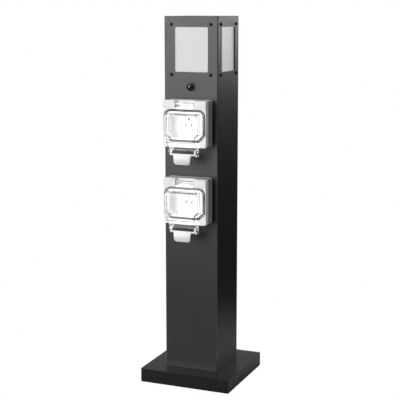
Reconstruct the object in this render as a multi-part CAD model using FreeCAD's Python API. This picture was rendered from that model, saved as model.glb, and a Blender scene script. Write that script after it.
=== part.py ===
"""Outdoor power post: square steel column, lantern head and two covered sockets.

Millimetres. The origin is on the floor on the column's axis, +Z is up, and the sockets face -Y.
Each separate piece is written to parts/ under its own name.
"""
import FreeCAD, Part
import math
import os

V = FreeCAD.Vector
os.makedirs("parts", exist_ok=True)

# ---------------------------------------------------------------- driving dimensions
# Column
OVERALL_HEIGHT = 750.0
POST_SIZE = 115.0
POST_WALL = 2.5
POST_EDGE_RADIUS = 2.0
TOP_PLATE_THICKNESS = 3.0

# Foot
BASE_SIZE = 195.0
BASE_HEIGHT = 28.0
BASE_COVER_WALL = 2.0
BASE_COVER_EDGE_RADIUS = 2.5
BASE_COVER_GAP = 0.5
BASE_PLATE_THICKNESS = 6.0
BASE_PLATE_GAP = 1.0
ANCHOR_INSET = 22.5
ANCHOR_HOLE_RADIUS = 6.0
WELD_LEG = 5.0
TAB_WIDTH = 22.0
TAB_LENGTH = 18.0
TAB_HEIGHT = 17.0
TAB_THICKNESS = 3.0
TAB_OFFSET = 60.0
TAB_SCREW_HEIGHT = 16.0
ENTRY_HOLE_RADIUS = 20.0
ENTRY_GROMMET_WALL = 6.0
ENTRY_GROMMET_LIP = 4.0
ENTRY_GROMMET_LIP_HEIGHT = 3.0
EARTH_STUD_RADIUS = 4.0
EARTH_STUD_LENGTH = 26.0
EARTH_STUD_INSET = 19.5
EARTH_NUT_RAISE = 4.0
EARTH_LUG_ROOM = 4.0

# Lantern head
WINDOW_SIDE_MARGIN = 21.5
WINDOW_HEIGHT = 88.0
WINDOW_CENTRE_BELOW_TOP = 65.3
WINDOW_CORNER_RADIUS = 3.0
WINDOW_SCREW_OUT = 6.0
WINDOW_SCREW_UP = 5.3
DIFFUSER_EDGE = 6.0
DIFFUSER_THICKNESS = 3.0
WINDOW_GASKET_THICKNESS = 1.0
WINDOW_GASKET_SETBACK = 1.0
SHELF_THICKNESS = 2.5
SHELF_BELOW_DIFFUSER = 1.0
SHELF_CABLE_HOLE_RADIUS = 6.0
SHELF_CABLE_HOLE_BACK = 38.0
HOLDER_FLANGE_RADIUS = 26.0
HOLDER_FLANGE_HEIGHT = 5.0
HOLDER_RADIUS = 19.0
HOLDER_HEIGHT = 38.0
HOLDER_SCREW_OFFSET = 22.5
BULB_CAP_RADIUS = 13.2
BULB_CAP_LENGTH = 25.0
BULB_CAP_CLEARANCE = 0.4
BULB_NECK_RADIUS = 15.0
BULB_BODY_HEIGHT = 22.0
BULB_GLOBE_RADIUS = 30.0
BULB_GLOBE_WALL = 1.5
BULB_GLOBE_SEAT = 12.0

# Dusk sensor
SENSOR_BELOW_TOP = 138.3
SENSOR_LENS_RADIUS = 10.0
SENSOR_RIM_THICKNESS = 1.2
SENSOR_DOME_HEIGHT = 7.0
SENSOR_BODY_RADIUS = 8.0
SENSOR_BODY_LENGTH = 24.0
SENSOR_GASKET_THICKNESS = 0.8
SENSOR_GASKET_INSET = 0.5
SENSOR_NUT_FLATS = 22.0
SENSOR_NUT_THICKNESS = 5.0

# Socket boxes
UPPER_SOCKET_BELOW_TOP = 209.5
SOCKET_PITCH = 155.0
BOX_DEPTH = 19.0
BOX_WALL = 2.5
BOX_CORNER_RADIUS = 4.0
BOX_FLANGE_THICKNESS = 3.0
BOX_FLANGE_EXTRA = 0.8
BOX_GASKET_THICKNESS = 1.5
BOX_OPENING_WIDTH = 50.0
BOX_OPENING_HEIGHT = 68.0
BOX_SCREW_SPACING = 72.0
BOX_SIDE_SETBACK = 1.25
BOX_END_SETBACK = 0.7
FRAME_SIDE_MARGIN = 2.5
FRAME_HEIGHT = 92.4
FRAME_DEPTH = 12.0
FRAME_WALL = 2.5
FRAME_CORNER_RADIUS = 4.0
FRAME_EDGE_RADIUS = 1.5
WELL_WALL = 2.0
WELL_FLOOR_DEPTH = 8.5
WELL_FLOOR_THICKNESS = 2.0
FRAME_SCREW_SPACING = 59.0
PILLAR_RADIUS = 4.0
FRAME_SCREW_END_GAP = 0.5

# Hinge on the frame
TOWER_GAP = 40.0
TOWER_BOTTOM = 33.0
TOWER_PROUD = 2.0
TOWER_TOP_SETBACK = 0.7
TOWER_EDGE_RADIUS = 0.8
TOWER_CORNER_RADIUS = 1.0
POCKET_DEPTH = 8.0
POCKET_BACK_WALL = 2.5
POCKET_BLOCK_HALF_WIDTH = 34.0
HINGE_SETBACK = 2.5
HINGE_HEIGHT = 39.5
HINGE_PIN_RADIUS = 1.5
HINGE_PIN_LENGTH = 60.0
KNUCKLE_RADIUS = 4.0
KNUCKLE_SIDE_GAP = 0.8
WEB_BITE = 2.0
WEB_SHOULDER_DROP = 1.0
WEB_UNDERSIDE_DROP = 3.5
WEB_UNDERSIDE_SHIFT = 1.0
WEB_POCKET_GAP = 0.4
PIN_CLEARANCE = 0.06

# Clear cover: its rim line, dome and cable chute
RIM_HALF_WIDTH = 43.5
RIM_TOP = 29.2
RIM_BOTTOM = -35.5
RIM_CORNER_RADIUS = 14.0
CHUTE_HALF_WIDTH = 30.0
SEAL_WIDTH = 4.5
SEAL_THICKNESS = 1.3
SEAL_GAP = 0.2
WELL_INSET = 7.5
FLANGE_THICKNESS = 2.0
COVER_WALL = 2.0
DOME_INSET = 6.5
DOME_DRAFT = 1.5
DOME_HEIGHT = 25.0
DOME_EDGE_RADIUS = 6.0
CHUTE_DEPTH = 11.0
CHUTE_EDGE_RADIUS = 5.0
CHUTE_SLOPE_TOP = -35.0
CHUTE_SLOPE_BOTTOM = -49.0
CHUTE_LIP_BELOW_SLOPE = 2.0
CHUTE_END = -62.5
LATCH_BOSS_RADIUS = 4.0
LATCH_BOSS_PROUD = 1.5

# Latch
LATCH_AXIS_IN_CHUTE = 3.5
LATCH_AXIS_HEIGHT = -54.0
LATCH_HUB_RADIUS = 3.4
LATCH_ARM_WIDTH = 5.8
LATCH_SIDE_GAP = 0.7
LATCH_BAR_HEIGHT = 3.5
LATCH_BAR_SETBACK = 0.5
LATCH_PIN_RADIUS = 1.5
LATCH_FINGER_GAP = 0.6
LATCH_FINGER_THICKNESS = 2.6
LATCH_FINGER_REACH = 6.5
LATCH_BAR_CORNER_RADIUS = 1.0
FINGER_SHOULDER = 2.0
FINGER_RUN_OUT = 1.0
ARM_FRONT_REACH = 3.0
ARM_FRONT_RISE = 1.0
ARM_BACK_REACH = 1.0
ARM_BACK_DROP = 3.0
TONGUE_TOP = -59.5
TONGUE_BOTTOM = -79.5
TONGUE_TOP_HALF_WIDTH = 19.0
TONGUE_BOTTOM_HALF_WIDTH = 16.8
TONGUE_THICKNESS = 2.6
TONGUE_BULGE = 3.2
TONGUE_TIP_FORWARD = 1.0
TONGUE_TOP_RADIUS = 1.5
TONGUE_BOTTOM_RADIUS = 5.0

# Receptacle
FACE_SIZE = 41.0
FACE_PROUD = 1.5
FACE_CORNER_RADIUS = 2.0
FACE_OPENING_GAP = 0.25
BODY_WIDTH = 34.0
BODY_HEIGHT = 40.0
BODY_LENGTH = 24.0
NECK_WIDTH = 28.0
NECK_HEIGHT = 34.0
YOKE_THICKNESS = 1.5
YOKE_WIDTH = 22.0
YOKE_HEIGHT = 84.0
YOKE_BORDER = 4.5
YOKE_SCREW_SPACING = 76.0
SLOT_PITCH = 12.7
SLOT_WIDTH = 2.2
SLOT_HEIGHT = 8.2
SLOT_CENTRE = -4.2
EARTH_HOLE_RADIUS = 2.5
EARTH_HOLE_CENTRE = 7.7
CAVITY_HALF_WIDTH = 2.6
CAVITY_HALF_HEIGHT = 5.0
CAVITY_DEPTH = 17.0
CONTACT_THICKNESS = 0.8
CONTACT_HALF_HEIGHT = 4.0
CONTACT_LENGTH = 14.0

# Fasteners: shank radius, head radius, head height
M4_PAN = (2.0, 3.5, 2.4)
M35_PAN = (1.75, 2.9, 2.0)
HOLE_CLEARANCE = 0.3
THREAD_CLEARANCE = 0.05
HEAD_DOME = 0.7
SCREW_TIP = 2.0
NUT_M4 = (7.0, 3.2)
NUT_M8 = (13.0, 6.5)
TERMINAL_SCREW_RADIUS = 3.0
TERMINAL_SCREW_HEIGHT = 2.0
TERMINAL_SCREW_SPACING = 20.0

# ---------------------------------------------------------------- derived dimensions
POST_HALF = POST_SIZE / 2
POST_INNER_HALF = POST_HALF - POST_WALL
POST_INNER_TOP = OVERALL_HEIGHT - TOP_PLATE_THICKNESS

WINDOW_WIDTH = POST_SIZE - 2 * WINDOW_SIDE_MARGIN
WINDOW_Z = OVERALL_HEIGHT - WINDOW_CENTRE_BELOW_TOP
WINDOW_SCREW_X = WINDOW_WIDTH / 2 + WINDOW_SCREW_OUT
WINDOW_SCREW_Z = WINDOW_HEIGHT / 2 + WINDOW_SCREW_UP
DIFFUSER_HALF_WIDTH = WINDOW_SCREW_X + DIFFUSER_EDGE
DIFFUSER_HALF_HEIGHT = WINDOW_SCREW_Z + DIFFUSER_EDGE
GASKET_FACE = POST_INNER_HALF - WINDOW_GASKET_THICKNESS
DIFFUSER_INNER_FACE = GASKET_FACE - DIFFUSER_THICKNESS

SHELF_TOP = WINDOW_Z - DIFFUSER_HALF_HEIGHT - SHELF_BELOW_DIFFUSER
HOLDER_TOP = SHELF_TOP + HOLDER_HEIGHT
GLOBE_BOTTOM = HOLDER_TOP + BULB_BODY_HEIGHT
GLOBE_CENTRE = GLOBE_BOTTOM + BULB_GLOBE_SEAT

# Cutting tools run this far past the faces they open.
PAST = 1.0

# The frame holds the cover's rim line and the box stands a little inside the frame.
FRAME_WIDTH = 2 * (RIM_HALF_WIDTH + FRAME_SIDE_MARGIN)
BOX_WIDTH = FRAME_WIDTH - 2 * BOX_SIDE_SETBACK
BOX_HEIGHT = FRAME_HEIGHT - 2 * BOX_END_SETBACK

# Depths are measured forward from the column's front face.
BOX_BACK = BOX_GASKET_THICKNESS
BOX_LIP = BOX_BACK + BOX_FLANGE_THICKNESS
BOX_FRONT = BOX_BACK + BOX_DEPTH
FRAME_FRONT = BOX_FRONT + FRAME_DEPTH
WELL_FLOOR_BACK = WELL_FLOOR_DEPTH - WELL_FLOOR_THICKNESS
SEAL_FRONT = FRAME_FRONT + SEAL_THICKNESS
FLANGE_BACK = SEAL_FRONT + SEAL_GAP
FLANGE_FRONT = FLANGE_BACK + FLANGE_THICKNESS
DOME_FRONT = FRAME_FRONT + DOME_HEIGHT
CHUTE_FRONT = FLANGE_BACK + CHUTE_DEPTH
HINGE_DEPTH = FRAME_FRONT - HINGE_SETBACK
LATCH_DEPTH = FLANGE_BACK + LATCH_AXIS_IN_CHUTE
LATCH_ARM_OUTER = CHUTE_HALF_WIDTH - COVER_WALL - LATCH_SIDE_GAP
LATCH_BAR_FRONT = CHUTE_FRONT - LATCH_BAR_SETBACK
YOKE_FRONT = BOX_LIP + YOKE_THICKNESS
FACE_FRONT = WELL_FLOOR_DEPTH + FACE_PROUD
BODY_BACK = BOX_LIP - BODY_LENGTH

TURN_OF_CHAMFER = math.tan(math.radians(22.5))


# ---------------------------------------------------------------- shape helpers
def save(name, *solids):
    """Write one piece, which may be a group of separate solids."""
    shape = solids[0] if len(solids) == 1 else Part.makeCompound(list(solids))
    shape.exportStep(f"parts/{name}.step")


def block(x0, x1, y0, y1, z0, z1):
    return Part.makeBox(x1 - x0, y1 - y0, z1 - z0, V(x0, y0, z0))


def slab(half_x, half_y, z0, z1):
    """A box centred on the column's axis."""
    return block(-half_x, half_x, -half_y, half_y, z0, z1)


def edges_along(shape, direction):
    """The straight edges that run along a direction."""
    found = []
    for edge in shape.Edges:
        along = edge.tangentAt(edge.FirstParameter)
        if isinstance(edge.Curve, Part.Line) and abs(abs(along.dot(direction)) - 1) < 1e-6:
            found.append(edge)
    return found


def rounded_bar(half_x, half_y, z0, z1, radius):
    """An upright bar with rounded vertical edges."""
    bar = slab(half_x, half_y, z0, z1)
    return bar.makeFillet(radius, edges_along(bar, V(0, 0, 1)))


def rod(radius, start, end):
    """A round bar between two points."""
    return Part.makeCylinder(radius, (end - start).Length, start, end - start)


def hexagon(flats, start, end):
    """A hexagonal bar between two points, with its flats facing across."""
    corner = flats / math.sqrt(3)
    axis = (end - start).normalize()
    side = axis.cross(V(0, 0, 1)) if abs(axis.z) < 0.9 else V(1, 0, 0)
    other = axis.cross(side)
    points = []
    for step in range(7):
        angle = math.radians(60 * step)
        points.append(start + side * (corner * math.cos(angle)) + other * (corner * math.sin(angle)))
    return Part.Face(Part.makePolygon(points)).extrude(end - start)


def rounded_face(corners, place):
    """A face through (u, v, radius) corners, where place turns (u, v) into a point."""
    starts, middles, ends = [], [], []
    for index, (u, v, radius) in enumerate(corners):
        here = V(u, v, 0)
        before = V(*corners[index - 1][:2], 0)
        after = V(*corners[(index + 1) % len(corners)][:2], 0)
        back = (before - here).normalize()
        on = (after - here).normalize()
        half = back.getAngle(on) / 2
        inward = (back + on).normalize()
        starts.append(here + back * (radius / math.tan(half)))
        ends.append(here + on * (radius / math.tan(half)))
        middles.append(here + inward * (radius / math.sin(half) - radius))
    edges = []
    for index, (_, _, radius) in enumerate(corners):
        start, middle, end = (place(p.x, p.y) for p in (starts[index], middles[index], ends[index]))
        if radius > 0:
            edges.append(Part.Arc(start, middle, end).toShape())
        following = starts[(index + 1) % len(corners)]
        edges.append(Part.LineSegment(end, place(following.x, following.y)).toShape())
    return Part.Face(Part.Wire(edges))


def front_prism(corners, depth0, depth1):
    """An outline seen from the front, drawn between two depths before the face y = 0."""
    face = rounded_face(corners, lambda x, z: V(x, -depth0, z))
    return face.extrude(V(0, depth0 - depth1, 0))


def side_prism(corners, x0, x1):
    """A (depth, height) outline seen from the side, drawn from x0 to x1."""
    face = rounded_face(corners, lambda depth, z: V(x0, -depth, z))
    return face.extrude(V(x1 - x0, 0, 0))


def rectangle(half_width, half_height, radius, centre_z=0.0):
    """Four (x, z, radius) corners of a rectangle."""
    top, bottom = centre_z + half_height, centre_z - half_height
    return [(-half_width, bottom, radius), (half_width, bottom, radius),
            (half_width, top, radius), (-half_width, top, radius)]


def before_face(x0, x1, depth0, depth1, z0, z1):
    """A box between two depths before the face y = 0."""
    return block(x0, x1, -depth1, -depth0, z0, z1)


def rod_forward(radius, x, z, depth0, depth1):
    """A round bar along the depth, before the face y = 0."""
    return rod(radius, V(x, -depth0, z), V(x, -depth1, z))


def rod_across(radius, depth, z, x0, x1):
    return rod(radius, V(x0, -depth, z), V(x1, -depth, z))


def holes_through(places, radius, depth0, depth1):
    """Round tools of one size at each (x, z) place, run past both depths."""
    return [rod_forward(radius, x, z, depth0 - PAST, depth1 + PAST) for x, z in places]


def pan_screw(sizes, x, z, seat_depth, length):
    """A domed screw whose head sits on a face at seat_depth and whose shank goes back from it."""
    shank_radius, head_radius, head_height = sizes
    head = rod_forward(head_radius, x, z, seat_depth, seat_depth + head_height)
    rim = [edge for edge in head.Edges if abs(edge.CenterOfMass.y + seat_depth + head_height) < 1e-6]
    head = head.makeFillet(head_height * HEAD_DOME, rim)
    return head.fuse(rod_forward(shank_radius, x, z, seat_depth - length, seat_depth))


def quarter_turns(shape):
    """The same shape on the front, right, back and left faces of the column."""
    turned = []
    for quarter in range(4):
        copy = shape.copy()
        copy.rotate(V(0, 0, 0), V(0, 0, 1), 90 * quarter)
        turned.append(copy)
    return turned


def in_front_of_post(shape, z=0.0):
    """Move a shape drawn before the face y = 0 onto the column's front face."""
    copy = shape.copy()
    copy.translate(V(0, -POST_HALF, z))
    return copy


# ---------------------------------------------------------------- foot
def base_plate():
    half = BASE_SIZE / 2 - BASE_COVER_WALL - BASE_PLATE_GAP
    plate = rounded_bar(half, half, 0, BASE_PLATE_THICKNESS, BASE_COVER_EDGE_RADIUS)
    anchor = BASE_SIZE / 2 - ANCHOR_INSET
    for x in (-anchor, anchor):
        for y in (-anchor, anchor):
            hole = rod(ANCHOR_HOLE_RADIUS, V(x, y, -PAST), V(x, y, BASE_PLATE_THICKNESS + PAST))
            plate = plate.cut(hole)
    entry = rod(ENTRY_HOLE_RADIUS, V(0, 0, -PAST), V(0, 0, BASE_PLATE_THICKNESS + PAST))
    return plate.cut(entry)


def foot_weld():
    """A fillet weld of triangular section round the outside of the column's foot."""
    low, high = BASE_PLATE_THICKNESS, BASE_PLATE_THICKNESS + WELD_LEG

    def square(half, z):
        return Part.makePolygon([V(-half, -half, z), V(half, -half, z), V(half, half, z),
                                 V(-half, half, z), V(-half, -half, z)])

    bead = Part.makeLoft([square(POST_HALF + WELD_LEG, low), square(POST_HALF, high)], True)
    return bead.cut(rounded_bar(POST_HALF, POST_HALF, low - PAST, high + PAST, POST_EDGE_RADIUS))


def base_cover():
    half = BASE_SIZE / 2
    inner = half - BASE_COVER_WALL
    hole = POST_HALF + BASE_COVER_GAP
    cover = rounded_bar(half, half, 0, BASE_HEIGHT, BASE_COVER_EDGE_RADIUS)
    cover = cover.cut(slab(inner, inner, -PAST, BASE_HEIGHT - BASE_COVER_WALL))
    cover = cover.cut(rounded_bar(hole, hole, 0, BASE_HEIGHT + PAST, POST_EDGE_RADIUS))
    for x in (-TAB_OFFSET, TAB_OFFSET):
        clearance = M4_PAN[0] + HOLE_CLEARANCE
        cover = cover.cut(rod(clearance, V(x, inner - PAST, TAB_SCREW_HEIGHT),
                              V(x, half + PAST, TAB_SCREW_HEIGHT)))
    return cover


def cover_tabs():
    """Two angle tabs on the base plate that take the plinth cover's screws at the back."""
    back = BASE_SIZE / 2 - BASE_COVER_WALL
    floor = BASE_PLATE_THICKNESS
    tabs = []
    for x in (-TAB_OFFSET, TAB_OFFSET):
        left, right = x - TAB_WIDTH / 2, x + TAB_WIDTH / 2
        tab = block(left, right, back - TAB_LENGTH, back, floor, floor + TAB_THICKNESS)
        tab = tab.fuse(block(left, right, back - TAB_THICKNESS, back, floor, floor + TAB_HEIGHT))
        tapped = M4_PAN[0] + THREAD_CLEARANCE
        tab = tab.cut(rod(tapped, V(x, back - TAB_THICKNESS - PAST, TAB_SCREW_HEIGHT),
                          V(x, back + PAST, TAB_SCREW_HEIGHT)))
        tabs.append(tab.removeSplitter())
    return tabs


def cover_screws():
    """The plinth cover's screws, drawn on the front and turned to the back."""
    length = BASE_COVER_WALL + TAB_THICKNESS + SCREW_TIP
    screws = []
    for x in (-TAB_OFFSET, TAB_OFFSET):
        screw = pan_screw(M4_PAN, x, TAB_SCREW_HEIGHT, BASE_SIZE / 2, length)
        screw.rotate(V(0, 0, 0), V(0, 0, 1), 180)
        screws.append(screw)
    return screws


def entry_grommet():
    """A rubber ring in the base plate's cable hole, with a lip on top of the plate."""
    bore = ENTRY_HOLE_RADIUS - ENTRY_GROMMET_WALL
    top = BASE_PLATE_THICKNESS + ENTRY_GROMMET_LIP_HEIGHT
    ring = rod(ENTRY_HOLE_RADIUS, V(0, 0, 0), V(0, 0, top))
    lip = rod(ENTRY_HOLE_RADIUS + ENTRY_GROMMET_LIP, V(0, 0, BASE_PLATE_THICKNESS), V(0, 0, top))
    return ring.fuse(lip).removeSplitter().cut(rod(bore, V(0, 0, -PAST), V(0, 0, top + PAST)))


def earth_stud():
    place = POST_HALF - EARTH_STUD_INSET
    return rod(EARTH_STUD_RADIUS, V(place, place, BASE_PLATE_THICKNESS),
               V(place, place, BASE_PLATE_THICKNESS + EARTH_STUD_LENGTH))


def earth_nuts():
    """Two nuts that clamp the earth lug on the stud."""
    place = POST_HALF - EARTH_STUD_INSET
    flats, thickness = NUT_M8
    nuts = []
    lower = BASE_PLATE_THICKNESS + EARTH_NUT_RAISE
    upper = lower + thickness + EARTH_LUG_ROOM
    for z in (lower, upper):
        nut = hexagon(flats, V(place, place, z), V(place, place, z + thickness))
        bore = rod(EARTH_STUD_RADIUS + THREAD_CLEARANCE, V(place, place, z - PAST),
                   V(place, place, z + thickness + PAST))
        nuts.append(nut.cut(bore))
    return nuts


# ---------------------------------------------------------------- column and lantern head
def window_corners(grow=0.0):
    """The window's outline, grown by a setback."""
    return rectangle(WINDOW_WIDTH / 2 + grow, WINDOW_HEIGHT / 2 + grow,
                     WINDOW_CORNER_RADIUS + grow, WINDOW_Z)


def window_screw_places():
    places = []
    for x in (-WINDOW_SCREW_X, WINDOW_SCREW_X):
        for z in (WINDOW_Z - WINDOW_SCREW_Z, WINDOW_Z + WINDOW_SCREW_Z):
            places.append((x, z))
    return places


def post_tube():
    tube = rounded_bar(POST_HALF, POST_HALF, BASE_PLATE_THICKNESS, OVERALL_HEIGHT, POST_EDGE_RADIUS)
    tube = tube.cut(slab(POST_INNER_HALF, POST_INNER_HALF, 0, OVERALL_HEIGHT + PAST))
    reach = POST_HALF + PAST
    inside = POST_INNER_HALF - PAST
    window = front_prism(window_corners(), inside, reach)
    openings = quarter_turns(window)
    for x, z in window_screw_places():
        openings += quarter_turns(rod_forward(M4_PAN[0] + HOLE_CLEARANCE, x, z, inside, reach))
    sensor_z = OVERALL_HEIGHT - SENSOR_BELOW_TOP
    openings.append(rod_forward(SENSOR_BODY_RADIUS + HOLE_CLEARANCE, 0, sensor_z, inside, reach))
    tube = tube.cut(openings)
    for z in socket_heights():
        tools = [box_opening(-POST_WALL, 0)]
        tools += holes_through(box_screw_places(), M4_PAN[0] + THREAD_CLEARANCE, -POST_WALL, 0)
        tools += holes_through(yoke_screw_places(), M35_PAN[0] + THREAD_CLEARANCE, -POST_WALL, 0)
        tube = tube.cut([in_front_of_post(tool, z) for tool in tools])
    return tube


def top_plate():
    return slab(POST_INNER_HALF, POST_INNER_HALF, POST_INNER_TOP, OVERALL_HEIGHT)


def window_panel(depth0, depth1):
    """A flat rectangle behind a window, with its four screw holes."""
    panel = front_prism(rectangle(DIFFUSER_HALF_WIDTH, DIFFUSER_HALF_HEIGHT, WINDOW_CORNER_RADIUS, WINDOW_Z),
                        depth0, depth1)
    for x, z in window_screw_places():
        panel = panel.cut(rod_forward(M4_PAN[0] + HOLE_CLEARANCE, x, z, depth0 - PAST, depth1 + PAST))
    return panel


def diffusers():
    return quarter_turns(window_panel(DIFFUSER_INNER_FACE, GASKET_FACE))


def window_gaskets():
    gasket = window_panel(GASKET_FACE, POST_INNER_HALF)
    hole = front_prism(window_corners(WINDOW_GASKET_SETBACK), GASKET_FACE - PAST, POST_INNER_HALF + PAST)
    return quarter_turns(gasket.cut(hole))


def window_screws():
    stack = POST_WALL + WINDOW_GASKET_THICKNESS + DIFFUSER_THICKNESS + NUT_M4[1] + SCREW_TIP
    screws = []
    for x, z in window_screw_places():
        screws += quarter_turns(pan_screw(M4_PAN, x, z, POST_HALF, stack))
    return screws


def window_nuts():
    flats, thickness = NUT_M4
    nuts = []
    for x, z in window_screw_places():
        nut = hexagon(flats, V(x, -DIFFUSER_INNER_FACE, z), V(x, thickness - DIFFUSER_INNER_FACE, z))
        bore = rod_forward(M4_PAN[0] + THREAD_CLEARANCE, x, z,
                           DIFFUSER_INNER_FACE - thickness - PAST, DIFFUSER_INNER_FACE + PAST)
        nuts += quarter_turns(nut.cut(bore))
    return nuts


def lamp_shelf():
    """A plate welded across the column under the windows."""
    low = SHELF_TOP - SHELF_THICKNESS
    shelf = slab(POST_INNER_HALF, POST_INNER_HALF, low, SHELF_TOP)
    holes = [rod(SHELF_CABLE_HOLE_RADIUS, V(0, SHELF_CABLE_HOLE_BACK, low - PAST),
                 V(0, SHELF_CABLE_HOLE_BACK, SHELF_TOP + PAST))]
    for x in (-HOLDER_SCREW_OFFSET, HOLDER_SCREW_OFFSET):
        holes.append(rod(M35_PAN[0] + THREAD_CLEARANCE, V(x, 0, low - PAST), V(x, 0, SHELF_TOP + PAST)))
    return shelf.cut(holes)


def lamp_holder():
    flange_top = SHELF_TOP + HOLDER_FLANGE_HEIGHT
    holder = rod(HOLDER_FLANGE_RADIUS, V(0, 0, SHELF_TOP), V(0, 0, flange_top))
    holder = holder.fuse(rod(HOLDER_RADIUS, V(0, 0, SHELF_TOP), V(0, 0, HOLDER_TOP))).removeSplitter()
    bore = BULB_CAP_RADIUS + BULB_CAP_CLEARANCE
    holder = holder.cut(rod(bore, V(0, 0, HOLDER_TOP - BULB_CAP_LENGTH - PAST), V(0, 0, HOLDER_TOP + PAST)))
    for x in (-HOLDER_SCREW_OFFSET, HOLDER_SCREW_OFFSET):
        holder = holder.cut(rod(M35_PAN[0] + HOLE_CLEARANCE, V(x, 0, SHELF_TOP - PAST),
                                V(x, 0, flange_top + PAST)))
    return holder


def lamp_holder_screws():
    """Two screws down through the holder's flange, drawn along -Y and tipped upright."""
    flange_top = SHELF_TOP + HOLDER_FLANGE_HEIGHT
    length = HOLDER_FLANGE_HEIGHT + SHELF_THICKNESS + SCREW_TIP
    screws = []
    for x in (-HOLDER_SCREW_OFFSET, HOLDER_SCREW_OFFSET):
        screw = pan_screw(M35_PAN, x, 0, 0, length)
        screw.rotate(V(0, 0, 0), V(1, 0, 0), -90)
        screw.translate(V(0, 0, flange_top))
        screws.append(screw)
    return screws


def bulb_cap():
    return rod(BULB_CAP_RADIUS, V(0, 0, HOLDER_TOP - BULB_CAP_LENGTH), V(0, 0, HOLDER_TOP))


def bulb_body():
    top_radius = math.sqrt(BULB_GLOBE_RADIUS ** 2 - BULB_GLOBE_SEAT ** 2)
    return Part.makeCone(BULB_NECK_RADIUS, top_radius, BULB_BODY_HEIGHT, V(0, 0, HOLDER_TOP))


def bulb_globe():
    centre = V(0, 0, GLOBE_CENTRE)
    globe = Part.makeSphere(BULB_GLOBE_RADIUS, centre)
    globe = globe.cut(Part.makeSphere(BULB_GLOBE_RADIUS - BULB_GLOBE_WALL, centre))
    side = BULB_GLOBE_RADIUS + PAST
    return globe.cut(slab(side, side, GLOBE_CENTRE - side, GLOBE_BOTTOM))


# ---------------------------------------------------------------- dusk sensor
def sensor_lens():
    """A round rim with a shallow spherical dome in front of it."""
    dome_radius = (SENSOR_LENS_RADIUS ** 2 + SENSOR_DOME_HEIGHT ** 2) / (2 * SENSOR_DOME_HEIGHT)
    back = SENSOR_GASKET_THICKNESS
    front = back + SENSOR_RIM_THICKNESS
    rim = rod_forward(SENSOR_LENS_RADIUS, 0, 0, back, front)
    sphere = Part.makeSphere(dome_radius, V(0, -(front + SENSOR_DOME_HEIGHT - dome_radius), 0))
    reach = SENSOR_LENS_RADIUS + PAST
    dome = sphere.common(before_face(-reach, reach, front, front + SENSOR_DOME_HEIGHT + PAST, -reach, reach))
    return rim.fuse(dome)


def sensor_pieces():
    """The lens, threaded body, gasket and nut at the sensor's height."""
    z = OVERALL_HEIGHT - SENSOR_BELOW_TOP
    body_back = SENSOR_GASKET_THICKNESS - SENSOR_BODY_LENGTH
    body = rod_forward(SENSOR_BODY_RADIUS, 0, 0, body_back, SENSOR_GASKET_THICKNESS)
    gasket = rod_forward(SENSOR_LENS_RADIUS - SENSOR_GASKET_INSET, 0, 0, 0, SENSOR_GASKET_THICKNESS)
    gasket = gasket.cut(rod_forward(SENSOR_BODY_RADIUS + HOLE_CLEARANCE, 0, 0, -PAST,
                                    SENSOR_GASKET_THICKNESS + PAST))
    nut = hexagon(SENSOR_NUT_FLATS, V(0, POST_WALL, 0), V(0, POST_WALL + SENSOR_NUT_THICKNESS, 0))
    bore = rod_forward(SENSOR_BODY_RADIUS + THREAD_CLEARANCE, 0, 0,
                       -POST_WALL - SENSOR_NUT_THICKNESS - PAST, PAST)
    pieces = {"sensor_lens": sensor_lens(), "sensor_body": body, "sensor_gasket": gasket,
              "sensor_nut": nut.cut(bore)}
    return {name: in_front_of_post(shape, z) for name, shape in pieces.items()}


# ---------------------------------------------------------------- socket unit, drawn before y = 0
def socket_heights():
    upper = OVERALL_HEIGHT - UPPER_SOCKET_BELOW_TOP
    return upper, upper - SOCKET_PITCH


def box_screw_places():
    half = BOX_SCREW_SPACING / 2
    return [(x, z) for x in (-half, half) for z in (-half, half)]


def yoke_screw_places():
    return [(0, -YOKE_SCREW_SPACING / 2), (0, YOKE_SCREW_SPACING / 2)]


def frame_screw_places():
    return [(-FRAME_SCREW_SPACING / 2, 0), (FRAME_SCREW_SPACING / 2, 0)]


def rim(inset=0.0):
    """The cover's rim line, or a line set in from it: round at the top, chamfered at the bottom."""
    half = RIM_HALF_WIDTH - inset
    bottom_half = CHUTE_HALF_WIDTH - inset * TURN_OF_CHAMFER
    bottom = RIM_BOTTOM + inset
    chamfer_top = bottom + half - bottom_half
    corner = RIM_CORNER_RADIUS - inset
    top = RIM_TOP - inset
    return [(-bottom_half, bottom, 0), (bottom_half, bottom, 0), (half, chamfer_top, 0),
            (half, top, corner), (-half, top, corner), (-half, chamfer_top, 0)]


def box_opening(depth0, depth1):
    """The opening in the column, the gasket and the box, run past both depths."""
    return before_face(-BOX_OPENING_WIDTH / 2, BOX_OPENING_WIDTH / 2, depth0 - PAST, depth1 + PAST,
                       -BOX_OPENING_HEIGHT / 2, BOX_OPENING_HEIGHT / 2)


def box_gasket():
    half_width, half_height = BOX_WIDTH / 2, BOX_HEIGHT / 2
    gasket = front_prism(rectangle(half_width, half_height, BOX_CORNER_RADIUS), 0, BOX_BACK)
    tools = [box_opening(0, BOX_BACK)]
    tools += holes_through(box_screw_places(), M4_PAN[0] + HOLE_CLEARANCE, 0, BOX_BACK)
    tools += holes_through(yoke_screw_places(), M35_PAN[0] + HOLE_CLEARANCE, 0, BOX_BACK)
    return gasket.cut(tools)


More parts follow.
